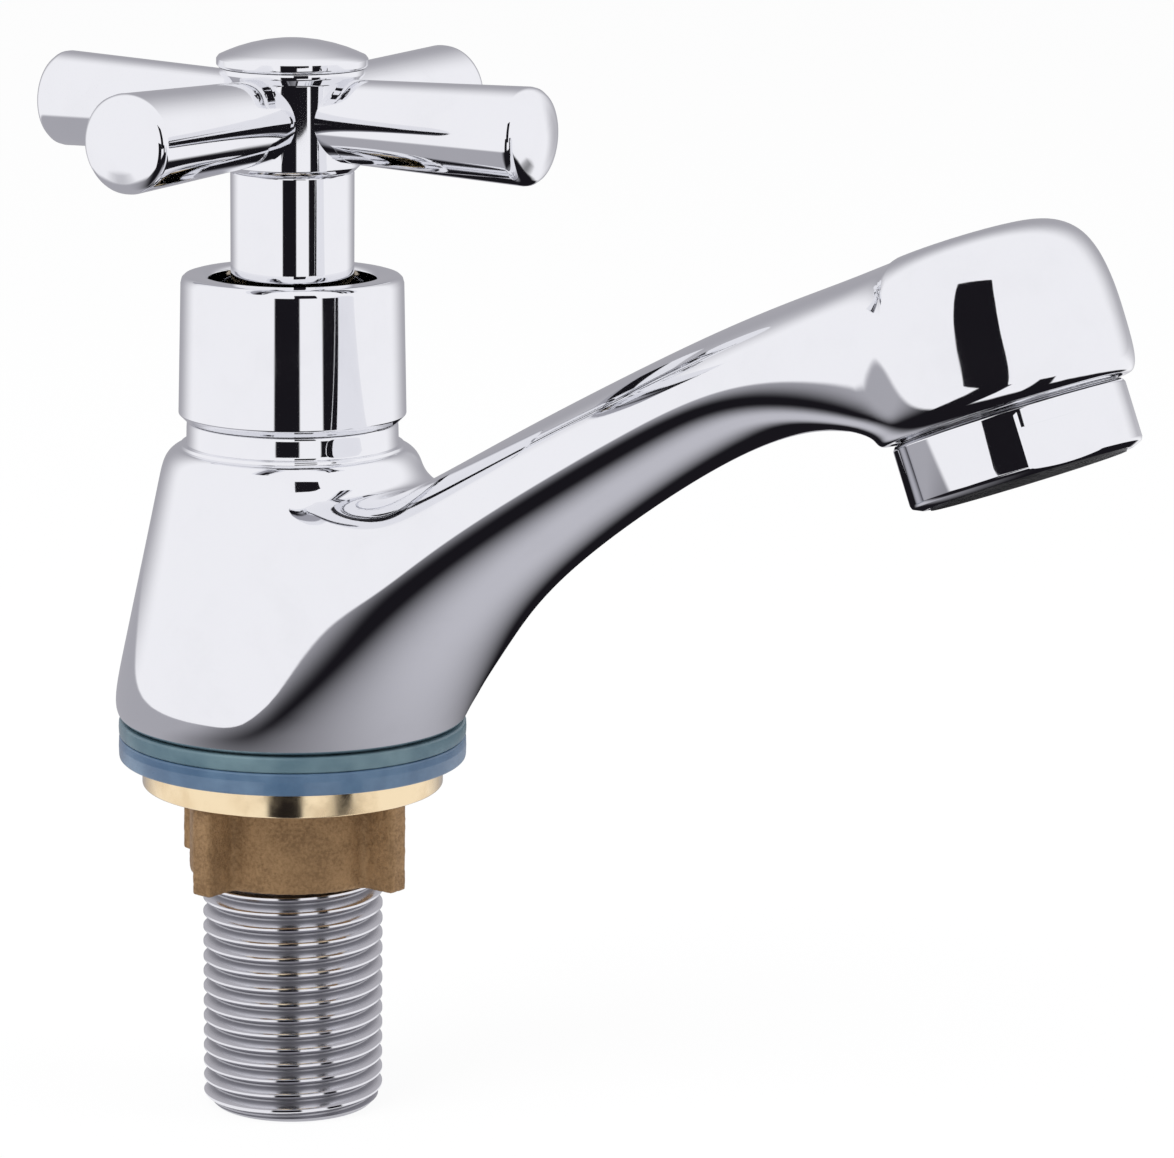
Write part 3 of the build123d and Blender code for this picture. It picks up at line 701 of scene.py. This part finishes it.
class Bench:
    """One mesh on the bench, worked with Blender's own tools, in millimetres until it is done."""

    def __init__(self, name: str) -> None:
        """Starts an empty mesh in edit mode.

        Args:
            name: the piece's name.
        """
        if bpy.context.mode != "OBJECT":
            bpy.ops.object.mode_set(mode="OBJECT")
        bpy.ops.object.select_all(action="DESELECT")
        bpy.ops.mesh.primitive_circle_add(vertices=3, radius=1.0, location=(0, 0, 0))
        self.piece = bpy.context.object
        self.piece.name = name
        self.walled = False
        bpy.ops.object.mode_set(mode="EDIT")
        bpy.ops.mesh.select_mode(type="VERT")
        bpy.ops.mesh.select_all(action="SELECT")
        bpy.ops.mesh.delete(type="VERT")

    def focus(self, mode: str = "EDIT") -> None:
        """Makes this the mesh that is worked on.

        Args:
            mode: EDIT or OBJECT.
        """
        if bpy.context.mode != "OBJECT":
            bpy.ops.object.mode_set(mode="OBJECT")
        bpy.ops.object.select_all(action="DESELECT")
        self.piece.select_set(True)
        bpy.context.view_layer.objects.active = self.piece
        bpy.ops.object.mode_set(mode=mode)

    def turned(self, rows: Sequence[Row], sides: int = 128, fill: bool = False) -> None:
        """Adds a form turned round Z: a circle extruded and resized from row to row.

        Args:
            rows: radius and height of each row. A last radius of 0 closes the form in a point.
            sides: vertices round the axis.
            fill: True closes the form with flat faces, False leaves its ends open.
        """
        radius, height = rows[0]
        kind = "NGON" if fill else "NOTHING"
        bpy.ops.mesh.select_all(action="DESELECT")
        bpy.ops.mesh.primitive_circle_add(vertices=sides, radius=radius, fill_type=kind, location=(0, 0, height))
        for next_radius, next_height in rows[1:]:
            rise = (0.0, 0.0, next_height - height)
            bpy.ops.mesh.extrude_region_move(TRANSFORM_OT_translate={"value": rise})
            share = next_radius / radius
            bpy.ops.transform.resize(value=(share, share, 1.0), center_override=(0, 0, next_height))
            radius, height = next_radius, next_height

    def block(self, centre: Point, size: Point) -> None:
        """Adds a block.

        Args:
            centre: its middle.
            size: its three sides.
        """
        bpy.ops.mesh.select_all(action="DESELECT")
        bpy.ops.mesh.primitive_cube_add(size=1.0, location=centre, scale=size)

    def close(self) -> None:
        """Joins doubled vertices and turns the faces outwards."""
        bpy.ops.mesh.select_all(action="SELECT")
        bpy.ops.mesh.remove_doubles(threshold=DOUBLE)
        bpy.ops.mesh.select_all(action="SELECT")
        bpy.ops.mesh.normals_make_consistent(inside=False)

    def swing(self, degrees: float, axis: str, centre: Point = (0.0, 0.0, 0.0)) -> None:
        """Turns what is selected. With no window the tool turns the other way, so the sign is changed.

        Args:
            degrees: the right-handed turn.
            axis: X, Y or Z.
            centre: the point it turns about.
        """
        bpy.ops.transform.rotate(value=-math.radians(degrees), orient_axis=axis, center_override=centre)

    def pick(self, kind: str, test: Callable[..., bool]) -> int:
        """Selects vertices, edges or faces in code.

        Args:
            kind: VERT, EDGE or FACE.
            test: takes a vertex's place, an edge's two ends, or a face's middle.

        Returns:
            How many were selected.
        """
        self.focus()
        bpy.ops.mesh.select_mode(type=kind)
        bpy.ops.mesh.select_all(action="DESELECT")
        bpy.ops.object.mode_set(mode="OBJECT")
        mesh = self.piece.data
        if kind == "VERT":
            items = mesh.vertices
            chosen = [test(vertex.co) for vertex in items]
        elif kind == "EDGE":
            items = mesh.edges
            chosen = [test(*(mesh.vertices[i].co for i in edge.vertices)) for edge in items]
        else:
            items = mesh.polygons
            chosen = [test(face.center) for face in items]
        for item, flag in zip(items, chosen):
            item.select = flag
        bpy.ops.object.mode_set(mode="EDIT")
        return sum(chosen)

    def modify(self, kind: str, **settings: object) -> None:
        """Adds a modifier, sets it and applies it.

        Args:
            kind: the modifier's type.
            settings: its properties.
        """
        self.focus("OBJECT")
        modifier = self.piece.modifiers.new(kind.lower(), kind)
        for name, value in settings.items():
            setattr(modifier, name, value)
        bpy.ops.object.modifier_apply(modifier=modifier.name)
        bpy.ops.object.mode_set(mode="EDIT")

    def combine(self, other: "Bench", how: Join) -> None:
        """Adds, cuts away or keeps what is shared with another mesh, which is used up.

        Args:
            other: the other mesh.
            how: the kind of join.
        """
        other.focus("OBJECT")
        self.modify("BOOLEAN", object=other.piece, operation=how.value, solver="EXACT")
        bpy.data.objects.remove(other.piece)

    def round_edges(self, rounding: Rounding, angle: float = 32.0) -> None:
        """Rounds the edges that are sharper than an angle in degrees."""
        self.walled = True
        limit = math.radians(angle)
        self.modify("BEVEL", width=rounding.value, segments=3, limit_method="ANGLE", angle_limit=limit)

    def tilt_to_outlet(self) -> None:
        """Takes a form made upright at the origin to the outlet's axis."""
        self.focus()
        bpy.ops.mesh.select_all(action="SELECT")
        self.swing(-OUTLET_TILT, "Y")
        bpy.ops.transform.translate(value=OUTLET_MOUTH)

    def true_walls(self) -> None:
        """Shades long walls by their own faces, so that narrow rounded edges beside them don't bend what they mirror."""
        self.focus("OBJECT")
        bpy.ops.object.shade_smooth_by_angle(angle=math.radians(SMOOTH_ANGLE))
        self.modify("WEIGHTED_NORMAL", keep_sharp=True)

    def done(self, body: str, slot: str, nodes: Sequence[str], material: bpy.types.Material) -> None:
        """Takes the piece to metres, shades it, gives it its finish and lets it ride.

        Args:
            body: the CAD body that it rides on.
            slot: the record's material slot; not used.
            nodes: the CAD nodes that it stands for.
            material: its finish.
        """
        self.focus()
        bpy.ops.mesh.select_all(action="SELECT")
        bpy.ops.mesh.normals_make_consistent(inside=False)
        bpy.ops.transform.resize(value=(MM, MM, MM), center_override=(0, 0, 0))
        if self.walled:
            self.true_walls()
        self.focus("OBJECT")
        if not self.walled:
            bpy.ops.object.shade_smooth_by_angle(angle=math.radians(SMOOTH_ANGLE))
        self.piece.data.name = self.piece.name
        self.piece.data.materials.clear()
        self.piece.data.materials.append(material)
        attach(self.piece, body)
        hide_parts(*nodes)
        log.info("made %s, %d faces", self.piece.name, len(self.piece.data.polygons))


@dataclass
class ScrewThread:
    """A right-hand outer thread with rounded crests, cut to length with a chamfered start."""

    crest: float
    depth: float
    pitch: float
    bottom: float
    top: float
    bore: float
    chamfer: float
    steps: int = 96
    form: tuple[Row, ...] = (
        (0.0, 0.10), (0.14, 0.18), (0.84, 0.38), (1.0, 0.47), (1.0, 0.60), (0.84, 0.69), (0.14, 0.91), (0.0, 1.0),
    )

    def shape(self, name: str) -> Bench:
        """Turns one groove's outline up the axis, then trims and bores it.

        Args:
            name: the mesh's name.

        Returns:
            The thread on its bench.
        """
        root = self.crest - self.depth
        turns = math.ceil((self.top - self.bottom) / self.pitch) + 3
        low = self.bottom - 1.5 * self.pitch
        bench = Bench(name)
        bpy.ops.mesh.primitive_circle_add(vertices=3, radius=DOUBLE / 10, location=(root, 0, low))
        bpy.ops.mesh.merge(type="CENTER")
        bpy.ops.mesh.select_all(action="SELECT")
        across, along = 0.0, 0.0
        for share, rise in self.form:
            step = ((share - across) * self.depth, 0.0, (rise - along) * self.pitch)
            bpy.ops.mesh.extrude_region_move(TRANSFORM_OT_translate={"value": step})
            across, along = share, rise
        bench.modify(
            "SCREW",
            axis="Z",
            angle=math.tau,
            screw_offset=self.pitch,
            iterations=turns,
            steps=self.steps,
            render_steps=self.steps,
            use_merge_vertices=True,
            merge_threshold=DOUBLE,
        )
        middle = (0.0, 0.0, (self.bottom + self.top) / 2)
        for height, way in ((self.bottom - 0.2, -1.0), (self.top + 0.2, 1.0)):
            bpy.ops.mesh.select_all(action="SELECT")
            bpy.ops.mesh.bisect(
                plane_co=(0.0, 0.0, height), plane_no=(0.0, 0.0, way), use_fill=True, clear_outer=True,
            )
        bench.close()
        blank = Bench("blank")
        wide = self.crest + 1.0
        start = self.crest - self.chamfer
        rise = self.bottom + self.chamfer + 1.0
        blank.turned(((start, self.bottom), (wide, rise), (wide, self.top)), fill=True)
        blank.close()
        bench.combine(blank, Join.KEEP)
        drill = Bench("drill")
        drill.turned(((self.bore, self.bottom - 2.0), (self.bore, self.top + 2.0)), fill=True)
        drill.close()
        bench.combine(drill, Join.CUT)
        return bench


@dataclass
class Casting:
    """The body: a turned column and outlet head with the spout drawn between them, subdivided smooth."""

    segments: int = 24
    levels: int = 3
    column: tuple[Row, ...] = (
        (6.0, 13.5), (10.2, 13.5), (10.7, 13.2), (10.7, 3.0), (10.8, 2.1), (11.3, 1.87), (18.4, 1.85),
        (19.3, 1.9), (20.1, 2.25), (20.75, 4.05), (19.4, 10.5), (18.03, 17.0), (16.66, 23.5), (15.4, 29.6),
        (14.8, 32.6), (13.65, 33.65), (13.2, 33.8), (12.95, 33.82), (12.85, 33.9), (12.85, 34.2),
        (12.75, 34.25), (12.3, 34.27), (12.15, 34.35), (12.15, 36.8), (12.0, 36.9), (8.0, 36.9),
    )
    head: tuple[Row, ...] = (
        (6.0, 7.6), (11.6, 7.6), (12.2, 7.4), (12.25, 6.6), (12.25, 0.6), (12.35, 0.08), (12.9, 0.0),
        (13.45, 0.05), (13.85, 0.5), (14.3, 1.9), (14.4, 6.0), (14.35, 10.6), (13.2, 15.6), (9.6, 18.0),
        (5.0, 18.1),
    )
    spout: tuple[tuple[Row, Row, float], ...] = (
        ((24.6, 9.0), (18.6, 31.2), 15.6),
        ((28.6, 14.6), (22.4, 33.0), 13.4),
        ((35.2, 21.6), (31.5, 38.3), 12.0),
        ((44.8, 28.9), (41.0, 43.5), 10.9),
        ((55.5, 36.2), (51.5, 49.0), 10.3),
        ((65.5, 42.1), (61.5, 54.1), 10.6),
        ((74.8, 45.2), (71.0, 58.4), 12.0),
    )
    low_square: float = 1.12
    mouth_low: float = 4.05
    mouth_high: float = 29.6
    opening: float = 60.0
    polish: int = 70

    def on_spout(self, place: Vector) -> bool:
        """Whether a vertex lies on the spout or its two roots, which are polished smooth.

        Args:
            place: the vertex's place.

        Returns:
            True if it is polished.
        """
        across, _, rise = outlet_place(place)
        limit = -2.0 if rise > 11.0 else -8.0
        clear_of_lip = across < -16.0 or rise > 3.0
        return place.x > 12.0 and place.z > 5.5 and across < limit and clear_of_lip

    def in_opening(self, middle: Vector) -> bool:
        """Whether a face of the column or head lies where the spout joins it.

        Args:
            middle: the face's middle.

        Returns:
            True if the face is taken out.
        """
        if math.hypot(middle.x, middle.y) < 22.0:
            swing = abs(math.degrees(math.atan2(middle.y, middle.x)))
            outside = math.hypot(middle.x, middle.y) > 12.6
            return outside and swing < self.opening and self.mouth_low < middle.z < self.mouth_high
        across, side, rise = outlet_place(middle)
        reach = math.hypot(across, side)
        swing = abs(math.degrees(math.atan2(side, -across)))
        outside = reach > 13.2 or (rise > 8.5 and reach > 9.5)
        return outside and swing < self.opening and 1.9 < rise < 17.95

    def draw_spout(self, tight: float) -> None:
        """Draws the spout's rings from the column to the head.

        Args:
            tight: how much larger a ring is drawn so that its smoothed form has the stated size.
        """
        before = None
        for low, high, half_width in self.spout:
            centre = Vector(((low[0] + high[0]) / 2, 0.0, (low[1] + high[1]) / 2))
            run = Vector((high[0] - low[0], 0.0, high[1] - low[1]))
            half = run.length / 2
            lean = math.degrees(math.atan2(-run.z, run.x))
            if before is None:
                bpy.ops.mesh.primitive_circle_add(vertices=self.segments, radius=1.0, location=(0, 0, 0))
                bpy.ops.transform.resize(value=(half * tight, half_width * tight, 1.0), center_override=(0, 0, 0))
                self.bench.swing(lean, "Y")
                bpy.ops.transform.translate(value=centre)
            else:
                old_centre, old_lean, old_half, old_width = before
                bpy.ops.mesh.extrude_edges_move(TRANSFORM_OT_translate={"value": centre - old_centre})
                self.bench.swing(-old_lean, "Y", tuple(centre))
                share = (half / old_half, half_width / old_width, 1.0)
                bpy.ops.transform.resize(value=share, center_override=centre)
                self.bench.swing(lean, "Y", tuple(centre))
            before = centre, lean, half, half_width

    def bridge(self, near: bool) -> None:
        """Joins the spout's open end to the opening beside it.

        Args:
            near: True for the column's end, False for the head's.
        """
        self.bench.focus("OBJECT")
        uses = Counter(key for face in self.bench.piece.data.polygons for key in face.edge_keys)
        places = {}
        for edge in self.bench.piece.data.edges:
            ends = [self.bench.piece.data.vertices[i].co for i in edge.vertices]
            places[tuple(round(v, 4) for end in ends for v in end)] = uses[tuple(sorted(edge.vertices))] < 2

        def open_here(start: Vector, end: Vector) -> bool:
            """Whether an edge is open and at the wanted end."""
            is_open = places[tuple(round(v, 4) for point in (start, end) for v in point)]
            return is_open and (start.x < 40.0) == near

        count = self.bench.pick("EDGE", open_here)
        log.info("bridging %d open edges", count)
        bpy.ops.mesh.bridge_edge_loops(number_cuts=0, use_merge=False)

    def build(self, material: bpy.types.Material) -> None:
        """Builds the casting.

        Args:
            material: its finish.
        """
        tight = 6.0 / (4.0 + 2.0 * math.cos(math.tau / self.segments))
        self.bench = Bench("tap_casting")
        self.bench.turned([(r * tight, s) for r, s in self.head], self.segments, fill=True)
        self.bench.tilt_to_outlet()
        self.bench.turned([(r * tight, z) for r, z in self.column], self.segments, fill=True)
        self.bench.close()
        self.bench.pick("FACE", self.in_opening)
        bpy.ops.mesh.delete(type="FACE")
        bpy.ops.mesh.select_mode(type="VERT")
        bpy.ops.mesh.select_all(action="DESELECT")
        self.draw_spout(tight)
        self.bridge(True)
        self.bridge(False)
        self.bench.close()
        self.bench.modify("SUBSURF", levels=self.levels, render_levels=self.levels)
        self.bench.pick("VERT", self.on_spout)
        bpy.ops.mesh.vertices_smooth(factor=0.5, repeat=self.polish)
        self.bench.done("tap", "body_chrome", ["tap_body"], material)


@dataclass
class Headwork:
    """The shroud round the headwork and the sleeve round the spindle."""

    shroud: tuple[Row, ...] = (
        (11.8, 36.92), (12.2, 36.92), (13.05, 37.75), (12.75, 52.75), (12.6, 53.3), (12.3, 53.58), (11.9, 53.7),
        (10.3, 53.7), (9.6, 53.3), (9.6, 50.5), (11.0, 50.5), (11.0, 45.2), (7.53, 45.2), (7.53, 42.7),
        (11.8, 42.7), (11.8, 36.92),
    )
    sleeve: tuple[Row, ...] = (
        (6.25, 51.5), (6.8, 51.5), (7.05, 51.75), (7.05, 65.45), (6.8, 65.7), (6.25, 65.7), (6.25, 51.5),
    )

    def build(self, material: bpy.types.Material) -> None:
        """Builds both tubes.

        Args:
            material: their finish.
        """
        cover = Bench("valve_shroud")
        cover.turned(self.shroud, 160)
        cover.close()
        cover.round_edges(Rounding.FINE)
        cover.done("tap", "trim_chrome", ["headwork_shroud"], material)
        tube = Bench("spindle_sleeve")
        tube.turned(self.sleeve)
        tube.close()
        tube.round_edges(Rounding.FINE)
        tube.done("handle", "trim_chrome", ["stem_sleeve"], material)


@dataclass
class CrossHandle:
    """The hub with its four tapered arms, and the domed cap."""

    arm_height: float = 71.7
    arm_turn: float = 6.5
    hub: tuple[Row, ...] = (
        (4.06, 62.7), (6.2, 62.7), (6.2, 65.7), (7.15, 65.7), (7.75, 66.3), (7.75, 76.0), (8.3, 76.7),
        (8.3, 77.3), (5.65, 77.3), (5.65, 74.5), (2.15, 74.5), (2.15, 72.0), (4.06, 72.0), (4.06, 62.7),
    )
    arm: tuple[Row, ...] = (
        (4.64, 5.0), (5.5, 31.3), (5.42, 31.8), (5.15, 32.2), (4.75, 32.42), (4.2, 32.58), (3.3, 32.88),
        (2.3, 33.18), (1.2, 33.42), (0.5, 33.49), (0.0, 33.5),
    )
    cap: tuple[Row, ...] = (
        (4.2, 77.35), (4.2, 75.1), (5.5, 75.1), (5.5, 77.35), (8.3, 77.35), (8.6, 77.65), (8.6, 78.35),
        (8.35, 78.68), (7.5, 79.06), (6.4, 79.5), (5.0, 79.93), (3.5, 80.28), (2.0, 80.5), (1.0, 80.57),
        (0.0, 80.6),
    )

    def build(self, material: bpy.types.Material) -> None:
        """Builds the handle and its cap.

        Args:
            material: their finish.
        """
        hub = Bench("cross_handle_hub")
        hub.turned(self.hub)
        hub.close()
        hub.round_edges(Rounding.FINE)
        arms = Bench("arms")
        arms.turned(self.arm, 96, fill=True)
        arms.close()
        arms.swing(90.0, "Y")
        arms.swing(self.arm_turn, "Z")
        bpy.ops.transform.translate(value=(0.0, 0.0, self.arm_height))
        for _ in range(3):
            bpy.ops.mesh.duplicate()
            arms.swing(90.0, "Z")
        hub.combine(arms, Join.ADD)
        hub.done("handle", "handle_chrome", ["cross_handle"], material)
        cap = Bench("domed_cap")
        cap.turned(self.cap, 128, fill=True)
        cap.close()
        cap.round_edges(Rounding.FINE, 40.0)
        cap.done("handle", "handle_chrome", ["handle_cap"], material)


@dataclass
class Tail:
    """What is under the body: two rubber rings, the threaded tail and the cast back nut."""

    ring_bore: float = 10.8
    ring_reach: float = 20.1
    upper: tuple[float, float] = (0.0, 1.85)
    lower: tuple[float, float] = (-2.65, -0.02)
    flange: tuple[Row, ...] = (
        (10.6, -5.92), (17.25, -5.92), (17.45, -5.72), (17.45, -2.87), (17.25, -2.67), (11.1, -2.67),
        (10.6, -3.17), (10.6, -5.92),
    )
    boss: tuple[Row, ...] = ((11.7, -16.45), (12.0, -16.1), (12.0, -5.7))
    lug_reach: float = 32.2
    lug_width: float = 2.7
    grit: float = 0.16

    def rubber(self, name: str, body: str, slot: str, node: str, span: Row, material: bpy.types.Material) -> None:
        """Builds one rubber ring.

        Args:
            name: the piece's name.
            body: the body that it rides on.
            slot: the record's material slot.
            node: the CAD node that it stands for.
            span: its lower and upper height.
            material: its finish.
        """
        low, high = span
        middle = (low + high) / 2
        bench = Bench(name)
        reach = self.ring_reach
        rows = (self.ring_bore, low), (reach, low), (reach + 0.05, middle), (reach, high), (self.ring_bore, high)
        bench.turned((*rows, rows[0]), 160)
        bench.close()
        bench.round_edges(Rounding.SOFT)
        bench.done(body, slot, [node], material)

    def nut(self, turned_brass: bpy.types.Material, cast_brass: bpy.types.Material) -> None:
        """Builds the nut: a turned flange on a sand-cast boss with four lugs.

        Args:
            turned_brass: the flange's finish.
            cast_brass: the casting's finish.
        """
        flange = Bench("nut_flange")
        flange.turned(self.flange, 160)
        flange.close()
        flange.round_edges(Rounding.FINE)
        flange.done("nut", "nut_brass", ["back_nut"], turned_brass)
        castle = Bench("nut_castle")
        castle.turned(self.boss, 96, fill=True)
        low, high = self.boss[0][1], self.boss[-1][1]
        centre = (0.0, 0.0, (low + high) / 2)
        castle.block(centre, (self.lug_reach, self.lug_width, high - low))
        castle.block(centre, (self.lug_width, self.lug_reach, high - low))
        castle.modify("REMESH", mode="VOXEL", voxel_size=0.3)
        castle.modify("SMOOTH", factor=0.5, iterations=4)
        clouds = bpy.data.textures.new("sand", "CLOUDS")
        clouds.noise_scale = 0.7
        castle.modify("DISPLACE", texture=clouds, strength=self.grit, mid_level=0.5, texture_coords="LOCAL")
        drill = Bench("nut_drill")
        drill.turned(((10.6, low - 2.0), (10.6, high + 2.0)), fill=True)
        drill.close()
        castle.combine(drill, Join.CUT)
        castle.done("nut", "nut_brass", ["back_nut"], cast_brass)

    def shank(self, material: bpy.types.Material) -> None:
        """Builds the threaded tail.

        Args:
            material: its finish.
        """
        thread = ScrewThread(10.4775, 1.0, 1.814, -44.3, 12.0, 6.25, 1.2)
        thread.shape("threaded_tail").done("tap", "tail_chrome", ["inlet_shank"], material)


@dataclass
class Outlet:
    """The aerator's chrome ring with its two spanner flats and its thread."""

    ring: tuple[Row, ...] = (
        (10.55, -7.3), (10.7, -7.45), (11.3, -7.45), (12.3, -7.0), (12.45, -6.6), (12.45, -0.75), (12.2, -0.35),
        (11.8, -0.2), (10.9, -0.2), (10.9, -5.45), (10.55, -5.45), (10.55, -7.3),
    )
    flat_across: float = 23.4
    flat_height: float = 4.8
    flat_turn: float = -34.0
    height: float = 7.45

    def build(self, material: bpy.types.Material) -> None:
        """Builds the ring.

        Args:
            material: its finish.
        """
        housing = Bench("aerator_ring")
        housing.turned(self.ring, 160)
        housing.close()
        housing.round_edges(Rounding.FINE)
        cutter = Bench("flats")
        deep = 10.0
        centre_x = self.flat_across / 2 + deep / 2
        centre_z = self.flat_height - self.height - deep / 2
        for side in (-1.0, 1.0):
            cutter.block((side * centre_x, 0.0, centre_z), (deep, 4 * deep, deep))
        cutter.close()
        cutter.swing(self.flat_turn, "Z")
        housing.combine(cutter, Join.CUT)
        housing.combine(ScrewThread(12.0, 0.6, 1.0, -0.3, 5.0, 10.9, 0.4).shape("thread"), Join.ADD)
        housing.tilt_to_outlet()
        housing.done("aerator_ring", "trim_chrome", ["aerator_housing"], material)


FINISHES = {
    "body_chrome": Chrome("body_chrome"),
    "trim_chrome": Chrome("trim_chrome", wave=0.000004),
    "handle_chrome": Chrome("handle_chrome", wave=0.000004),
    "tail_chrome": ThreadChrome("tail_chrome"),
    "nut_brass": Machined("nut_brass"),
    "valve_brass": Plain("valve_brass", (0.80, 0.62, 0.34), 0.25, 1.0),
    "gasket_blue": Rubber("gasket_blue", (0.07, 0.13, 0.165), (0.14, 0.22, 0.25)),
    "washer_blue": Rubber("washer_blue", (0.048, 0.10, 0.18), (0.10, 0.175, 0.27)),
    "seal_rubber": Plain("seal_rubber", (0.03, 0.03, 0.03), 0.6),
    "disc_ceramic": Plain("disc_ceramic", (0.86, 0.85, 0.82), 0.15),
    "white_plastic": Plain("white_plastic", (0.82, 0.82, 0.80), 0.4),
    "black_plastic": Plain("black_plastic", (0.02, 0.02, 0.022), 0.35),
    "steel": Plain("steel", (0.62, 0.62, 0.62), 0.3, 1.0),
}


def dress_nodes(frame: dict, finishes: dict[str, bpy.types.Material]) -> None:
    """Gives every CAD node its finish.

    Args:
        finishes: a material for each of the record's slots.
    """
    for row in frame["record"]["subparts"]:
        node = frame["nodes"][row["node"]]
        node.data.materials.clear()
        node.data.materials.append(finishes[row["material_slot"]])
        weld = node.modifiers.new("weld", "WELD")
        weld.merge_threshold = 0.000002
        log.info("dressed %s with %s", row["node"], row["material_slot"])


def main() -> None:
    """Builds the scene: frame, studio, looks."""
    logging.basicConfig(level=logging.INFO, format="%(message)s")
    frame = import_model()
    studio = Studio()
    studio.camera()
    studio.world()
    studio.floor(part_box("inlet_shank")[0].z)
    studio.table(-0.001)
    studio.post(0.0406, 0.167, (0.07, 0.11), 0.105)
    studio.lamp("key_lamp", -50.0, 45.0, 0.6, 5.0)
    studio.lamp("fill_lamp", 70.0, 35.0, 0.6, 3.0)
    finishes = {slot: finish.material() for slot, finish in FINISHES.items()}
    dress_nodes(frame, finishes)
    Casting().build(finishes["body_chrome"])
    Headwork().build(finishes["trim_chrome"])
    CrossHandle().build(finishes["handle_chrome"])
    tail = Tail()
    tail.rubber("upper_ring", "tap", "gasket_blue", "deck_gasket", tail.upper, finishes["gasket_blue"])
    tail.rubber("lower_ring", "washer", "washer_blue", "under_deck_washer", tail.lower, finishes["washer_blue"])
    tail.nut(finishes["nut_brass"], SandCast("cast_brass").material())
    tail.shank(finishes["tail_chrome"])
    Outlet().build(finishes["trim_chrome"])
    bpy.context.scene.view_settings.view_transform = "Standard"


if __name__ == "__main__":
    main()
